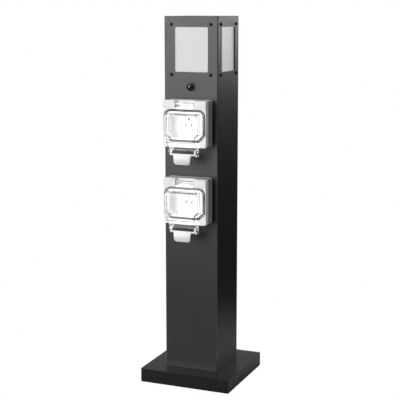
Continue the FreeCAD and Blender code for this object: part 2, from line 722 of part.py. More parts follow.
def socket_box():
    """The back box: a wall round the outside, a wide flange and a lip against the column."""
    half_width, half_height = BOX_WIDTH / 2, BOX_HEIGHT / 2
    box = front_prism(rectangle(half_width, half_height, BOX_CORNER_RADIUS), BOX_BACK, BOX_FRONT)
    flange = rectangle(half_width + BOX_FLANGE_EXTRA, half_height + BOX_FLANGE_EXTRA, BOX_CORNER_RADIUS)
    box = box.fuse(front_prism(flange, BOX_BACK, BOX_LIP))
    inner = rectangle(half_width - BOX_WALL, half_height - BOX_WALL, BOX_CORNER_RADIUS - BOX_WALL)
    box = box.cut(front_prism(inner, BOX_LIP, BOX_FRONT + PAST))
    for x, z in frame_screw_places():
        box = box.fuse(rod_forward(PILLAR_RADIUS, x, z, BOX_BACK, WELL_FLOOR_BACK))
    tools = [box_opening(BOX_BACK, BOX_LIP)]
    tools += holes_through(box_screw_places(), M4_PAN[0] + HOLE_CLEARANCE, BOX_BACK, BOX_LIP)
    tools += holes_through(yoke_screw_places(), M35_PAN[0] + HOLE_CLEARANCE, BOX_BACK, BOX_LIP)
    tools += holes_through(frame_screw_places(), M35_PAN[0] + THREAD_CLEARANCE, BOX_BACK, WELL_FLOOR_BACK)
    return box.cut(tools)


def box_screws():
    length = BOX_LIP + POST_WALL + SCREW_TIP
    return [pan_screw(M4_PAN, x, z, BOX_LIP, length) for x, z in box_screw_places()]


def hinge_towers():
    """Two raised blocks at the frame's top corners, on each side of the hinge pocket."""
    half_height = FRAME_HEIGHT / 2
    middle_z = (TOWER_BOTTOM + half_height - TOWER_TOP_SETBACK) / 2
    half_z = (half_height - TOWER_TOP_SETBACK - TOWER_BOTTOM) / 2
    towers = []
    for side in (-1, 1):
        inner, outer = side * TOWER_GAP / 2, side * FRAME_WIDTH / 2
        left, right = min(inner, outer), max(inner, outer)
        low, high, corner = middle_z - half_z, middle_z + half_z, TOWER_CORNER_RADIUS
        corners = [(left, low, corner), (right, low, corner), (right, high, corner), (left, high, corner)]
        tower = front_prism(corners, FRAME_FRONT - FRAME_WALL, FRAME_FRONT + TOWER_PROUD)
        front = [edge for edge in tower.Edges
                 if abs(edge.BoundBox.YMax + FRAME_FRONT + TOWER_PROUD) < 1e-6]
        towers.append(tower.makeFillet(TOWER_EDGE_RADIUS, front))
    return towers


def socket_frame():
    """The front housing: outer wall, front plate, the well for the plug, and the hinge towers."""
    half_width, half_height = FRAME_WIDTH / 2, FRAME_HEIGHT / 2
    outline = rectangle(half_width, half_height, FRAME_CORNER_RADIUS)
    frame = front_prism(outline, BOX_FRONT, FRAME_FRONT)
    front = [edge for edge in frame.Edges if abs(edge.BoundBox.YMax + FRAME_FRONT) < 1e-6]
    frame = frame.makeFillet(FRAME_EDGE_RADIUS, front)
    inner = rectangle(half_width - FRAME_WALL, half_height - FRAME_WALL, FRAME_CORNER_RADIUS - FRAME_WALL)
    frame = frame.cut(front_prism(inner, BOX_FRONT - PAST, FRAME_FRONT - FRAME_WALL))

    block_half = POCKET_BLOCK_HALF_WIDTH
    pocket_back = FRAME_FRONT - POCKET_DEPTH
    hinge_block = before_face(-block_half, block_half, pocket_back - POCKET_BACK_WALL,
                              FRAME_FRONT - FRAME_WALL, RIM_TOP - WELL_INSET, half_height - FRAME_WALL / 2)
    well_outside = front_prism(rim(WELL_INSET - WELL_WALL), WELL_FLOOR_BACK, FRAME_FRONT - FRAME_WALL / 2)
    frame = frame.fuse([hinge_block, well_outside] + hinge_towers())

    pocket = before_face(-TOWER_GAP / 2, TOWER_GAP / 2, pocket_back, FRAME_FRONT + TOWER_PROUD + PAST,
                         TOWER_BOTTOM, half_height + PAST)
    opening = FACE_SIZE / 2 + FACE_OPENING_GAP
    tools = [pocket,
             front_prism(rim(WELL_INSET), WELL_FLOOR_DEPTH, FRAME_FRONT + PAST),
             front_prism(rectangle(opening, opening, 0), WELL_FLOOR_BACK - PAST, WELL_FLOOR_DEPTH + PAST),
             hinge_pin()]
    clearance = M35_PAN[0] + HOLE_CLEARANCE
    tools += holes_through(frame_screw_places(), clearance, WELL_FLOOR_BACK, WELL_FLOOR_DEPTH)
    return frame.cut(tools).removeSplitter()


def frame_screws():
    length = WELL_FLOOR_DEPTH - BOX_BACK - FRAME_SCREW_END_GAP
    return [pan_screw(M35_PAN, x, z, WELL_FLOOR_DEPTH, length) for x, z in frame_screw_places()]


def yoke():
    """The metal strap that holds the receptacle, with an ear at the top and the bottom."""
    frame_half_width = NECK_WIDTH / 2 + YOKE_BORDER
    frame_half_height = NECK_HEIGHT / 2 + YOKE_BORDER
    strap = before_face(-frame_half_width, frame_half_width, BOX_LIP, YOKE_FRONT,
                        -frame_half_height, frame_half_height)
    strap = strap.fuse(before_face(-YOKE_WIDTH / 2, YOKE_WIDTH / 2, BOX_LIP, YOKE_FRONT,
                                   -YOKE_HEIGHT / 2, YOKE_HEIGHT / 2)).removeSplitter()
    tools = [before_face(-NECK_WIDTH / 2, NECK_WIDTH / 2, BOX_LIP - PAST, YOKE_FRONT + PAST,
                         -NECK_HEIGHT / 2, NECK_HEIGHT / 2)]
    tools += holes_through(yoke_screw_places(), M35_PAN[0] + HOLE_CLEARANCE, BOX_LIP, YOKE_FRONT)
    return strap.cut(tools)


def yoke_screws():
    length = YOKE_FRONT + POST_WALL + SCREW_TIP
    return [pan_screw(M35_PAN, x, z, YOKE_FRONT, length) for x, z in yoke_screw_places()]


def pin_holes(depth0, depth1):
    """The two upright slots and the round earth hole above them."""
    holes = [rod_forward(EARTH_HOLE_RADIUS, 0, EARTH_HOLE_CENTRE, depth0, depth1)]
    for x in (-SLOT_PITCH / 2, SLOT_PITCH / 2):
        holes.append(before_face(x - SLOT_WIDTH / 2, x + SLOT_WIDTH / 2, depth0, depth1,
                                 SLOT_CENTRE - SLOT_HEIGHT / 2, SLOT_CENTRE + SLOT_HEIGHT / 2))
    return holes


def receptacle_face():
    half = FACE_SIZE / 2
    face = front_prism(rectangle(half, half, FACE_CORNER_RADIUS), YOKE_FRONT, FACE_FRONT)
    return face.cut(pin_holes(YOKE_FRONT - PAST, FACE_FRONT + PAST))


def contact_places():
    return [(-SLOT_PITCH / 2, SLOT_CENTRE), (SLOT_PITCH / 2, SLOT_CENTRE), (0, EARTH_HOLE_CENTRE)]


def receptacle_body():
    """The insulating body behind the yoke, with a cavity for each contact."""
    body = before_face(-BODY_WIDTH / 2, BODY_WIDTH / 2, BODY_BACK, BOX_LIP, -BODY_HEIGHT / 2, BODY_HEIGHT / 2)
    neck = before_face(-NECK_WIDTH / 2, NECK_WIDTH / 2, BOX_LIP, YOKE_FRONT,
                       -NECK_HEIGHT / 2, NECK_HEIGHT / 2)
    floor = YOKE_FRONT - CAVITY_DEPTH
    tools = []
    for x, z in contact_places():
        tools.append(before_face(x - CAVITY_HALF_WIDTH, x + CAVITY_HALF_WIDTH, floor, YOKE_FRONT + PAST,
                                 z - CAVITY_HALF_HEIGHT, z + CAVITY_HALF_HEIGHT))
    return body.fuse(neck).removeSplitter().cut(tools)


def receptacle_contacts():
    """Three brass clips, each two leaves joined by a bridge on the cavity's floor."""
    back = YOKE_FRONT - CAVITY_DEPTH
    clips = []
    for x, z in contact_places():
        gap = EARTH_HOLE_RADIUS if x == 0 else SLOT_WIDTH / 2
        reach = min(gap + CONTACT_THICKNESS, CAVITY_HALF_WIDTH)
        inner = reach - CONTACT_THICKNESS
        low, high = z - CONTACT_HALF_HEIGHT, z + CONTACT_HALF_HEIGHT
        clip = before_face(x - reach, x + reach, back, back + CONTACT_LENGTH, low, high)
        slot = before_face(x - inner, x + inner, back + CONTACT_THICKNESS, back + CONTACT_LENGTH + PAST,
                           low - PAST, high + PAST)
        clips.append(clip.cut(slot))
    return clips


def terminal_screws():
    """Two wire screws on each side of the receptacle's body."""
    screws = []
    for side in (-1, 1):
        face = side * BODY_WIDTH / 2
        for z in (-TERMINAL_SCREW_SPACING / 2, TERMINAL_SCREW_SPACING / 2):
            depth = (BODY_BACK + BOX_LIP) / 2
            head = face + side * TERMINAL_SCREW_HEIGHT
            screws.append(rod_across(TERMINAL_SCREW_RADIUS, depth, z, face, head))
    return screws


def cover_seal():
    ring = front_prism(rim(), FRAME_FRONT, SEAL_FRONT)
    return ring.cut(front_prism(rim(SEAL_WIDTH), FRAME_FRONT - PAST, SEAL_FRONT + PAST))


def hinge_pin():
    half = HINGE_PIN_LENGTH / 2
    return rod_across(HINGE_PIN_RADIUS, HINGE_DEPTH, HINGE_HEIGHT, -half, half)


def dome(inset, front, edge_radius):
    """A tapered dome on the rim's shape, rounded along its front edge."""
    wires = []
    for line, depth in ((rim(inset), FLANGE_BACK), (rim(inset + DOME_DRAFT), front)):
        wires.append(rounded_face(line, lambda x, z: V(x, -depth, z)).OuterWire)
    solid = Part.makeLoft(wires, True, True)
    edges = [edge for edge in solid.Edges if abs(edge.BoundBox.YMax + front) < 1e-6]
    return solid.makeFillet(edge_radius, edges)


def chute(half_width, back, front, chute_front, slope_top, slope_bottom, end, edge_radius):
    """The narrow part below the dome: a sloped front that steps back, and an open bottom."""
    dome_overlap = RIM_BOTTOM + 2 * DOME_INSET
    corners = [(back, dome_overlap, 0), (front, dome_overlap, 0), (front, slope_top, 0),
               (chute_front, slope_bottom, 0), (chute_front, end, 0), (back, end, 0)]
    solid = side_prism(corners, -half_width, half_width)
    front_edges = [edge for edge in solid.Edges
                   if edge.BoundBox.XLength < 1e-6 and edge.BoundBox.YMax < -chute_front + 1e-6
                   and edge.BoundBox.ZLength > 1e-6]
    return solid.makeFillet(edge_radius, front_edges)


def knuckle():
    """The barrel round the hinge pin and the web that joins it to the flange."""
    half = TOWER_GAP / 2 - KNUCKLE_SIDE_GAP
    barrel = rod_across(KNUCKLE_RADIUS, HINGE_DEPTH, HINGE_HEIGHT, -half, half)
    root = RIM_TOP - PAST
    web = side_prism([(FLANGE_BACK, root, 0), (FLANGE_FRONT, root, 0),
                      (FLANGE_FRONT, HINGE_HEIGHT - WEB_SHOULDER_DROP, 0),
                      (HINGE_DEPTH + WEB_BITE, HINGE_HEIGHT + WEB_BITE, 0),
                      (HINGE_DEPTH, HINGE_HEIGHT, 0),
                      (HINGE_DEPTH + WEB_UNDERSIDE_SHIFT, HINGE_HEIGHT - WEB_UNDERSIDE_DROP, 0),
                      (FLANGE_BACK, TOWER_BOTTOM + WEB_POCKET_GAP, 0)], -half, half)
    return barrel.fuse(web)


def cover():
    """The clear in-use cover: flange, hollow dome, cable chute, hinge knuckle and latch bosses."""
    outer = dome(DOME_INSET, DOME_FRONT, DOME_EDGE_RADIUS)
    outer_chute = chute(CHUTE_HALF_WIDTH, FLANGE_BACK, DOME_FRONT, CHUTE_FRONT, CHUTE_SLOPE_TOP,
                        CHUTE_SLOPE_BOTTOM, CHUTE_END, CHUTE_EDGE_RADIUS)
    inner = dome(DOME_INSET + COVER_WALL, DOME_FRONT - COVER_WALL, DOME_EDGE_RADIUS - COVER_WALL)
    wall_on_slope = COVER_WALL * TURN_OF_CHAMFER
    inner_half = CHUTE_HALF_WIDTH - COVER_WALL
    inner_chute = chute(inner_half, FLANGE_BACK - PAST, DOME_FRONT - COVER_WALL, CHUTE_FRONT - COVER_WALL,
                        CHUTE_SLOPE_TOP + wall_on_slope, CHUTE_SLOPE_BOTTOM + wall_on_slope,
                        CHUTE_END - PAST, CHUTE_EDGE_RADIUS - COVER_WALL)
    flange = front_prism(rim(), FLANGE_BACK, FLANGE_FRONT)
    shell = outer.fuse([outer_chute, flange, knuckle()])
    for side in (-1, 1):
        wall, proud = side * inner_half, side * (CHUTE_HALF_WIDTH + LATCH_BOSS_PROUD)
        shell = shell.fuse(rod_across(LATCH_BOSS_RADIUS, LATCH_DEPTH, LATCH_AXIS_HEIGHT, wall, proud))
    shell = shell.cut([inner, inner_chute])
    lip_end = CHUTE_SLOPE_BOTTOM - CHUTE_LIP_BELOW_SLOPE
    lip_back = CHUTE_FRONT - CHUTE_EDGE_RADIUS - PAST
    shell = shell.cut(before_face(-inner_half, inner_half, lip_back, CHUTE_FRONT + PAST,
                                  CHUTE_END - PAST, lip_end))
    bores = [rod_across(HINGE_PIN_RADIUS + PIN_CLEARANCE, HINGE_DEPTH, HINGE_HEIGHT, -TOWER_GAP, TOWER_GAP),
             rod_across(LATCH_PIN_RADIUS, LATCH_DEPTH, LATCH_AXIS_HEIGHT, -2 * CHUTE_HALF_WIDTH,
                        2 * CHUTE_HALF_WIDTH)]
    return shell.cut(bores).removeSplitter()


def tongue():
    """The tongue: a thin plate that bulges forward, narrower and rounded at its lower end."""
    middle = (TONGUE_TOP + TONGUE_BOTTOM) / 2
    reach = TONGUE_TOP_HALF_WIDTH + PAST
    lines = []
    for shift in (0.0, -TONGUE_THICKNESS):
        front = LATCH_BAR_FRONT + shift
        lines.append([V(-reach, -front, TONGUE_TOP), V(-reach, -front - TONGUE_BULGE, middle),
                      V(-reach, -front - TONGUE_TIP_FORWARD, TONGUE_BOTTOM)])
    outer, inner = lines
    edges = [Part.Arc(*outer).toShape(), Part.LineSegment(outer[2], inner[2]).toShape(),
             Part.Arc(inner[2], inner[1], inner[0]).toShape(), Part.LineSegment(inner[0], outer[0]).toShape()]
    plate = Part.Face(Part.Wire(edges)).extrude(V(2 * reach, 0, 0))
    outline = [(-TONGUE_BOTTOM_HALF_WIDTH, TONGUE_BOTTOM, TONGUE_BOTTOM_RADIUS),
               (TONGUE_BOTTOM_HALF_WIDTH, TONGUE_BOTTOM, TONGUE_BOTTOM_RADIUS),
               (TONGUE_TOP_HALF_WIDTH, TONGUE_TOP, TONGUE_TOP_RADIUS),
               (-TONGUE_TOP_HALF_WIDTH, TONGUE_TOP, TONGUE_TOP_RADIUS)]
    return plate.common(front_prism(outline, FRAME_FRONT, DOME_FRONT))


def latch():
    """Two arms that pivot in the chute, joined by a bar with the tongue below it.

    Each arm has a hub on its pin and a finger that reaches back under the frame.
    """
    top = -FRAME_HEIGHT / 2 - LATCH_FINGER_GAP
    under = top - LATCH_FINGER_THICKNESS
    tip = FRAME_FRONT - LATCH_FINGER_REACH
    bar_bottom = TONGUE_TOP - LATCH_BAR_HEIGHT / 2
    bar_top = TONGUE_TOP + LATCH_BAR_HEIGHT / 2
    bar_back = LATCH_BAR_FRONT - LATCH_BAR_HEIGHT
    hub = (LATCH_DEPTH, LATCH_AXIS_HEIGHT, 0)
    finger = [(tip, top, 0), (FRAME_FRONT + FINGER_RUN_OUT, top, 0),
              (LATCH_DEPTH + FINGER_SHOULDER, LATCH_AXIS_HEIGHT + FINGER_SHOULDER, 0), hub,
              (FRAME_FRONT, under, 0), (tip, under, 0)]
    arm = [hub, (LATCH_DEPTH + ARM_FRONT_REACH, LATCH_AXIS_HEIGHT + ARM_FRONT_RISE, 0),
           (LATCH_BAR_FRONT, bar_top, 0), (bar_back, bar_bottom, 0),
           (LATCH_DEPTH - ARM_BACK_REACH, LATCH_AXIS_HEIGHT - ARM_BACK_DROP, 0)]
    corner = LATCH_BAR_CORNER_RADIUS
    pieces = [side_prism([(bar_back, bar_bottom, corner), (LATCH_BAR_FRONT, bar_bottom, corner),
                          (LATCH_BAR_FRONT, bar_top, corner), (bar_back, bar_top, corner)],
                         -LATCH_ARM_OUTER, LATCH_ARM_OUTER)]
    for x0 in (-LATCH_ARM_OUTER, LATCH_ARM_OUTER - LATCH_ARM_WIDTH):
        x1 = x0 + LATCH_ARM_WIDTH
        pieces.append(rod_across(LATCH_HUB_RADIUS, LATCH_DEPTH, LATCH_AXIS_HEIGHT, x0, x1))
        pieces += [side_prism(finger, x0, x1), side_prism(arm, x0, x1)]
    shape = tongue().fuse(pieces)
    bore = rod_across(LATCH_PIN_RADIUS + PIN_CLEARANCE, LATCH_DEPTH, LATCH_AXIS_HEIGHT,
                      -CHUTE_HALF_WIDTH, CHUTE_HALF_WIDTH)
    return shape.cut(bore).removeSplitter()


def latch_pins():
    """A short pin at each end, fixed in the chute's wall and boss."""
    outer = CHUTE_HALF_WIDTH + LATCH_BOSS_PROUD
    inner = LATCH_ARM_OUTER - LATCH_ARM_WIDTH
    return [rod_across(LATCH_PIN_RADIUS, LATCH_DEPTH, LATCH_AXIS_HEIGHT, x0, x1)
            for x0, x1 in ((-outer, -inner), (inner, outer))]


def save_socket(prefix, z):
    """Write every piece of one socket unit at its height on the column."""
    pieces = {"box_gasket": [box_gasket()], "box": [socket_box()], "box_screws": box_screws(),
              "frame": [socket_frame()], "frame_screws": frame_screws(),
              "yoke": [yoke()], "yoke_screws": yoke_screws(),
              "receptacle_face": [receptacle_face()], "receptacle_body": [receptacle_body()],
              "receptacle_contacts": receptacle_contacts(), "terminal_screws": terminal_screws(),
              "cover_seal": [cover_seal()], "hinge_pin": [hinge_pin()], "cover": [cover()],
              "latch": [latch()], "latch_pins": latch_pins()}
    for name, solids in pieces.items():
        save(f"{prefix}_{name}", *[in_front_of_post(solid, z) for solid in solids])


# ---------------------------------------------------------------- write every piece
save("base_plate", base_plate())
save("foot_weld", foot_weld())
save("base_cover", base_cover())
save("base_cover_tabs", *cover_tabs())
save("base_cover_screws", *cover_screws())
save("entry_grommet", entry_grommet())
save("earth_stud", earth_stud())
save("earth_nuts", *earth_nuts())
save("post_tube", post_tube())
save("top_plate", top_plate())
for side, panel in zip(("front", "right", "back", "left"), diffusers()):
    save(f"diffuser_{side}", panel)
save("window_gaskets", *window_gaskets())
save("window_screws", *window_screws())
save("window_nuts", *window_nuts())
save("lamp_shelf", lamp_shelf())
save("lamp_holder", lamp_holder())
save("lamp_holder_screws", *lamp_holder_screws())
save("bulb_cap", bulb_cap())
save("bulb_body", bulb_body())
save("bulb_globe", bulb_globe())
for piece, shape in sensor_pieces().items():
    save(piece, shape)
for prefix, height in zip(("upper", "lower"), socket_heights()):
    save_socket(prefix, height)
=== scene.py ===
"""Looks of an outdoor power post: powder-coated column, lantern head and two covered sockets."""
import math

import bmesh
import bpy
from mathutils import Matrix, Vector


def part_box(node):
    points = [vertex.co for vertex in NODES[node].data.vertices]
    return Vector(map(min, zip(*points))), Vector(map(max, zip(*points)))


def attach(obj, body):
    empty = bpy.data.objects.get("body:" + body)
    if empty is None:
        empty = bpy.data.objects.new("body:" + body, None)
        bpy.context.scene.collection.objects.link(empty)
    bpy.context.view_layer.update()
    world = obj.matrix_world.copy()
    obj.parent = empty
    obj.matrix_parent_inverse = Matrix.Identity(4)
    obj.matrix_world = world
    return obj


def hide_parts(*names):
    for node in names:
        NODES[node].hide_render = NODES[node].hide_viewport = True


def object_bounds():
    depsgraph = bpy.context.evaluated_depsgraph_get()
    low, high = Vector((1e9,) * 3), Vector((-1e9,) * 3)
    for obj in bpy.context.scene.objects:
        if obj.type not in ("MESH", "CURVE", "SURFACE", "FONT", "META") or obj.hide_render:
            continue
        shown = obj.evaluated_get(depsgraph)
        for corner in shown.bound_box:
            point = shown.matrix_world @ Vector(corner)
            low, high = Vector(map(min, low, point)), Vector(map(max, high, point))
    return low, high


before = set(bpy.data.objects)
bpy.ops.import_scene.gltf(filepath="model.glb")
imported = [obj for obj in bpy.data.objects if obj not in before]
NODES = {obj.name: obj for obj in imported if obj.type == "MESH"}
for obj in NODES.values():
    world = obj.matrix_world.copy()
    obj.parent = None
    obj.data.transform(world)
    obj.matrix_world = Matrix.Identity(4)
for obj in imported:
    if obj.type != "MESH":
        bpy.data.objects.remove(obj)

bl_info = {
    "name": "Outdoor Power Post",
    "version": (1, 0, 0),
    "blender": (4, 5, 0),
    "location": "3D View > Sidebar > Power Post",
    "description": "Finishes and detail pieces for a square power post with two covered sockets",
    "category": "Object",
}

CAD_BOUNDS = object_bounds()
SOCKETS = ("upper", "lower")
WALLS = ("front", "right", "back", "left")
MM = 0.001

# Colours of pieces that are hidden or hardly seen.
SENSOR_BODY_BLACK = (0.03, 0.03, 0.032)
LAMP_HOLDER_BLACK = (0.035, 0.035, 0.035)
BULB_WHITE = (0.8, 0.8, 0.79)
GLOBE_WHITE, GLOBE_GLOW = (0.7, 0.69, 0.66), (0.12, 0.12, 0.11)
RECEPTACLE_GREY = (0.32, 0.32, 0.33)

# Two points nearer than WELD become one, and a cut that passes a point within CUT goes through it.
WELD, CUT = 1e-6, 1e-7

# A pan head's outline: shares of the head's radius and height, from the middle of its crown out.
CROWN = ((0.0, 1.0), (0.35, 0.985), (0.62, 0.92), (0.82, 0.78), (0.95, 0.5), (1.0, 0.2), (1.0, 0.0))
CROWN_MIDDLE = 0.5         # share of the head's height above which the recess is cut
RECESS_REACH = 0.56        # each arm of the recess, as a share of the head's radius
RECESS_TAPER = 0.72        # the recess's floor, as a share of its mouth
SMALL_RECESS_DEPTH, SMALL_RECESS_WIDTH = 0.8, 0.85     # a small screw's recess against a big one's
POINT_START, POINT_END = 0.9, 0.75     # where a shank's point begins, and its radius at the tip
SCREW_PAST_WINDOW = 5.2 * MM           # how far a window screw runs on behind its window

# The ring round the sensor's dome: shares of its radius and thickness, from the back outwards.
SENSOR_RIM = ((0.0, 0.0), (0.97, 0.0), (1.0, 0.2), (1.0, 0.75), (0.975, 1.0))
DOME_REACH = 0.9           # the dome's foot, as a share of the ring's radius
RING_OPENING = 1.015       # the ring's inner edge, as a share of the dome's foot
DOME_STEPS = 12

# The latch: its tongue, bar, arms, hubs and hooks.
TONGUE_THICKNESS = 2.4 * MM
TONGUE_TIP = 0.442         # half the tip's width, as a share of the width at the bar
TONGUE_STEPS = 12
TONGUE_CORNER, TONGUE_EDGE = 5.0 * MM, 1.05 * MM
TONGUE_RIM_ANGLE = 0.9     # radians: edges that turn more than this are the plate's rim
TONGUE_FLATTEN = 0.25      # share of the bulge that is lost at the sides
TONGUE_SIDE_CURL = 0.7 * MM
BAR_ROUNDING = 0.42        # share of the bar's thickness
ARM_THICKNESS, ARM_ROUNDING = 3.0 * MM, 0.8 * MM
HUB_RADIUS, HUB_CHAMFER = 3.1 * MM, 0.4 * MM
HOOK_INSET_Y, HOOK_INSET_Z = 1.6 * MM, 1.5 * MM    # the hook's end from the top back of its box

# Each lamp: its place, the point it faces, its width and height, and its power in watts.
LAMPS = {
    "key_light": ((-1.35, -2.35, 1.35), (0, 0, 0.60), (1.7, 1.5), 44),
    "front_left_panel": ((-1.5, -3.3, 0.66), (0, 0, 0.45), (2.2, 0.8), 21),
    "low_front_panel": ((-0.75, -1.7, 0.10), (0, 0, 0.35), (1.6, 0.6), 6),
    "back_right_panel": ((1.5, 3.3, 0.85), (0, 0, 0.6), (1.6, 0.4), 6.5),
    "back_left_panel": ((-1.5, 3.3, 0.62), (0, 0, 0.3), (1.8, 0.6), 2.2),
    "right_panel": ((2.8, -0.2, 0.9), (0, 0, 0.45), (1.3, 1.3), 5),
    "back_panel": ((0.3, 2.8, 1.1), (0, 0, 0.45), (1.3, 1.3), 8),
    "top_light": ((-0.5, 0.2, 2.6), (0, 0, 0.4), (1.2, 1.2), 14),
}
# The floor and the surround. Both are white where they're seen, and dimmer where they only light;
# round the post the floor carries a painted pool of light.
WHITE = (1, 1, 1, 1)
FLOOR_RADIUS, FLOOR_DROP = 14.0, 0.2 * MM
FLOOR_LIGHT_POOL, FLOOR_DIM = (0.50, 0.50, 0.51, 1), (0.012, 0.012, 0.012, 1)
FLOOR_CLOUD = (0.1, 0.1, 0.1, 1)
# The pale disc round the post is a painted pool of light.
LIGHT_POOL_RADIUS, LIGHT_POOL_FADE = 0.44, 0.2     # how far the floor is pale, and how softly that ends
SKY_FOOT, SKY_TOP = -0.05, 0.75        # heights between which the surround lightens, from -1 to 1
SKY_DIM, SKY_PALE = 0.015, 0.5

CAMERA_PLACE = (0.82735, -1.99785, 0.76192)
CAMERA_AZIMUTH, CAMERA_PITCH = math.radians(22.605), math.radians(10.165)
CAMERA_LENS, CAMERA_SENSOR = 95.46, 36.0           # millimetres


# ---------------------------------------------------------------- shader values
class Value:
    """A shader socket. Arithmetic on it adds Math nodes to its finish."""

    def __init__(self, finish, socket):
        self.finish = finish
        self.socket = socket

    def math(self, operation, *others):
        inputs = dict(enumerate([self, *others]))
        return self.finish.node("ShaderNodeMath", {"operation": operation}, inputs)

    def __add__(self, other):
        return self.math("ADD", other)

    def __rsub__(self, other):
        return self.finish.node("ShaderNodeMath", {"operation": "SUBTRACT"}, {0: other, 1: self})

    def __mul__(self, other):
        return self.math("MULTIPLY", other)

    __radd__ = __add__
    __rmul__ = __mul__

    def size(self):
        return self.math("ABSOLUTE")

    def least(self, other):
        return self.math("MINIMUM", other)

    def most(self, other):
        return self.math("MAXIMUM", other)

    def above(self, edge, soft):
        """0 below the edge, 1 above it, with a soft step between."""
        settings = {"interpolation_type": "SMOOTHSTEP", "clamp": True}
        inputs = {"Value": self, "From Min": edge - soft, "From Max": edge + soft}
        return self.finish.node("ShaderNodeMapRange", settings, inputs)


class Finish:
    """One material, or the world, while its nodes are put together."""
    # The Mix node has a set of sockets for each kind of data, so its colour sockets go by number.
    MIX_FACTOR, MIX_FIRST, MIX_SECOND, MIX_RESULT = 0, 6, 7, 2

    def __init__(self, name, world=None):
        self.owner = world or bpy.data.materials.new(name)
        self.owner.use_nodes = True
        self.tree = self.owner.node_tree
        self.tree.nodes.clear()
        self.place = self.node("ShaderNodeTexCoord", {}, {}, "Generated" if world else "Object")

    def node(self, kind, settings, inputs, output=0):
        """Add a node: its settings first, then the values or links of its sockets."""
        made = self.tree.nodes.new(kind)
        for key, value in settings.items():
            setattr(made, key, value)
        for key, value in inputs.items():
            if isinstance(value, Value):
                self.tree.links.new(value.socket, made.inputs[key])
            else:
                made.inputs[key].default_value = value
        return None if output is None else Value(self, made.outputs[output])

    def stretched(self, stretch):
        """The place on the piece. A stretch below 1 draws a pattern out along that axis."""
        return self.node("ShaderNodeMapping", {}, {"Vector": self.place, "Scale": stretch})

    def noise(self, size_mm, detail=2.0, stretch=(1, 1, 1)):
        """Noise whose blotches are about size_mm across."""
        inputs = {"Vector": self.stretched(stretch), "Scale": 1 / (size_mm * MM), "Detail": detail}
        return self.node("ShaderNodeTexNoise", {}, inputs, "Fac")

    def cells(self, size_mm, output="Distance"):
        """Cells about size_mm across: the distance from each one's middle, or its own colour."""
        inputs = {"Vector": self.stretched((1, 1, 1)), "Scale": 1 / (size_mm * MM)}
        return self.node("ShaderNodeTexVoronoi", {}, inputs, output)

    def axis(self, name):
        """One coordinate of the place: metres on a piece, a direction's share in the world."""
        return self.node("ShaderNodeSeparateXYZ", {}, {"Vector": self.place}, name)

    def mix(self, factor, first, second):
        """A colour between two, where the factor is a value."""
        inputs = {self.MIX_FACTOR: factor, self.MIX_FIRST: first, self.MIX_SECOND: second}
        return self.node("ShaderNodeMix", {"data_type": "RGBA"}, inputs, self.MIX_RESULT)

    def bump(self, height, depth_mm):
        inputs = {"Height": height, "Distance": depth_mm * MM, "Strength": 1.0}
        return self.node("ShaderNodeBump", {}, inputs, "Normal")

    def light_path(self, ray):
        return self.node("ShaderNodeLightPath", {}, {}, ray)

    def principled(self, inputs):
        return self.node("ShaderNodeBsdfPrincipled", {}, inputs, "BSDF")

    def blend(self, factor, first, second):
        """The first shader where the factor is 0 and the second where it is 1."""
        inputs = {0: factor, 1: first, 2: second}
        return self.node("ShaderNodeMixShader", {}, inputs, "Shader")

    def close(self, shader, kind="ShaderNodeOutputMaterial"):
        """Put the shader on the output and hand over the material."""
        self.node(kind, {}, {"Surface": shader}, None)
        return self.owner

    def surface(self, inputs):
        """A finished material of one Principled shader, its inputs given by name."""
        return self.close(self.principled(inputs))


def rgb(colour):
    return (colour[0], colour[1], colour[2], 1.0)


def shade(colour, factor):
    """A lighter or darker colour with the same hue."""
    return tuple(min(1.0, channel * factor) for channel in colour[:3]) + (1.0,)


# ---------------------------------------------------------------- finishes
def powder_coat(name, colour, worn_highlit_edge_half, roughness, texture_mm=1.1, depth_mm=0.03, gloss=0.5):
    """Powder coat: orange peel, faint clouds, upright scuffs, and upright corners painted lighter
    as a highlight, with patchy wear.

    The half-width argument is how far from the middle, along both level axes, the bright line of a
    corner's painted highlight begins; a fainter lighter strip starts 1.3 mm further in.
    """
    finish = Finish(name)
    peel = finish.noise(texture_mm, detail=3.0)
    grain = finish.cells(0.45)
    cloud = finish.noise(60.0)
    scuffs = finish.noise(14.0, detail=4.0, stretch=(1, 1, 0.15)).above(0.64, 0.05)
    corner = finish.axis("X").size().least(finish.axis("Y").size())
    # Painted highlight along each upright corner: a lighter strip, then a much lighter line at the
    # edge, broken a little by wear patches.
    corner_highlight = corner.above(worn_highlit_edge_half - 1.3 * MM, 0.6 * MM)
    patches = finish.noise(9.0, detail=4.0).above(0.5, 0.12)
    worn_highlit_edge = corner.above(worn_highlit_edge_half, 0.4 * MM) * (patches * 0.4 + 0.6)
    base = finish.mix(cloud, shade(colour, 0.9), shade(colour, 1.12))
    base = finish.mix(scuffs * 0.25, base, shade(colour, 1.6))
    base = finish.mix(corner_highlight, base, shade(colour, 2.1))
    base = finish.mix(worn_highlit_edge, base, shade(colour, 6.5))
    return finish.surface({
        "Base Color": base,
        "Roughness": peel * 0.08 + cloud * 0.05 + scuffs * 0.05 + (roughness - 0.065),
        "Specular IOR Level": gloss,
        "Normal": finish.bump(peel + grain * 0.5, depth_mm),
    })


def opal_acrylic(name, colour, painted_glow):
    """Milky acrylic sheet: faint upright streaks, soft mottling, and a painted glow: emission in
    place of light coming through from behind.
    """
    finish = Finish(name)
    streaks = finish.noise(9.0, stretch=(1, 1, 0.03))
    mottle = finish.noise(26.0)
    dust = finish.noise(1.6, detail=5.0).above(0.66, 0.05)
    base = finish.mix(streaks * 0.6 + mottle * 0.4, shade(colour, 0.955), shade(colour, 1.02))
    base = finish.mix(dust * 0.2, base, shade(colour, 0.86))
    return finish.surface({
        "Base Color": base,
        "Roughness": streaks * 0.1 + 0.3,
        # Painted glow: emission that stands in for light coming through the sheet.
        "Emission Color": finish.mix(mottle, shade(painted_glow, 0.96), shade(painted_glow, 1.03)),
        "Emission Strength": 1.0,
        "Normal": finish.bump(streaks + mottle, 0.05),
    })


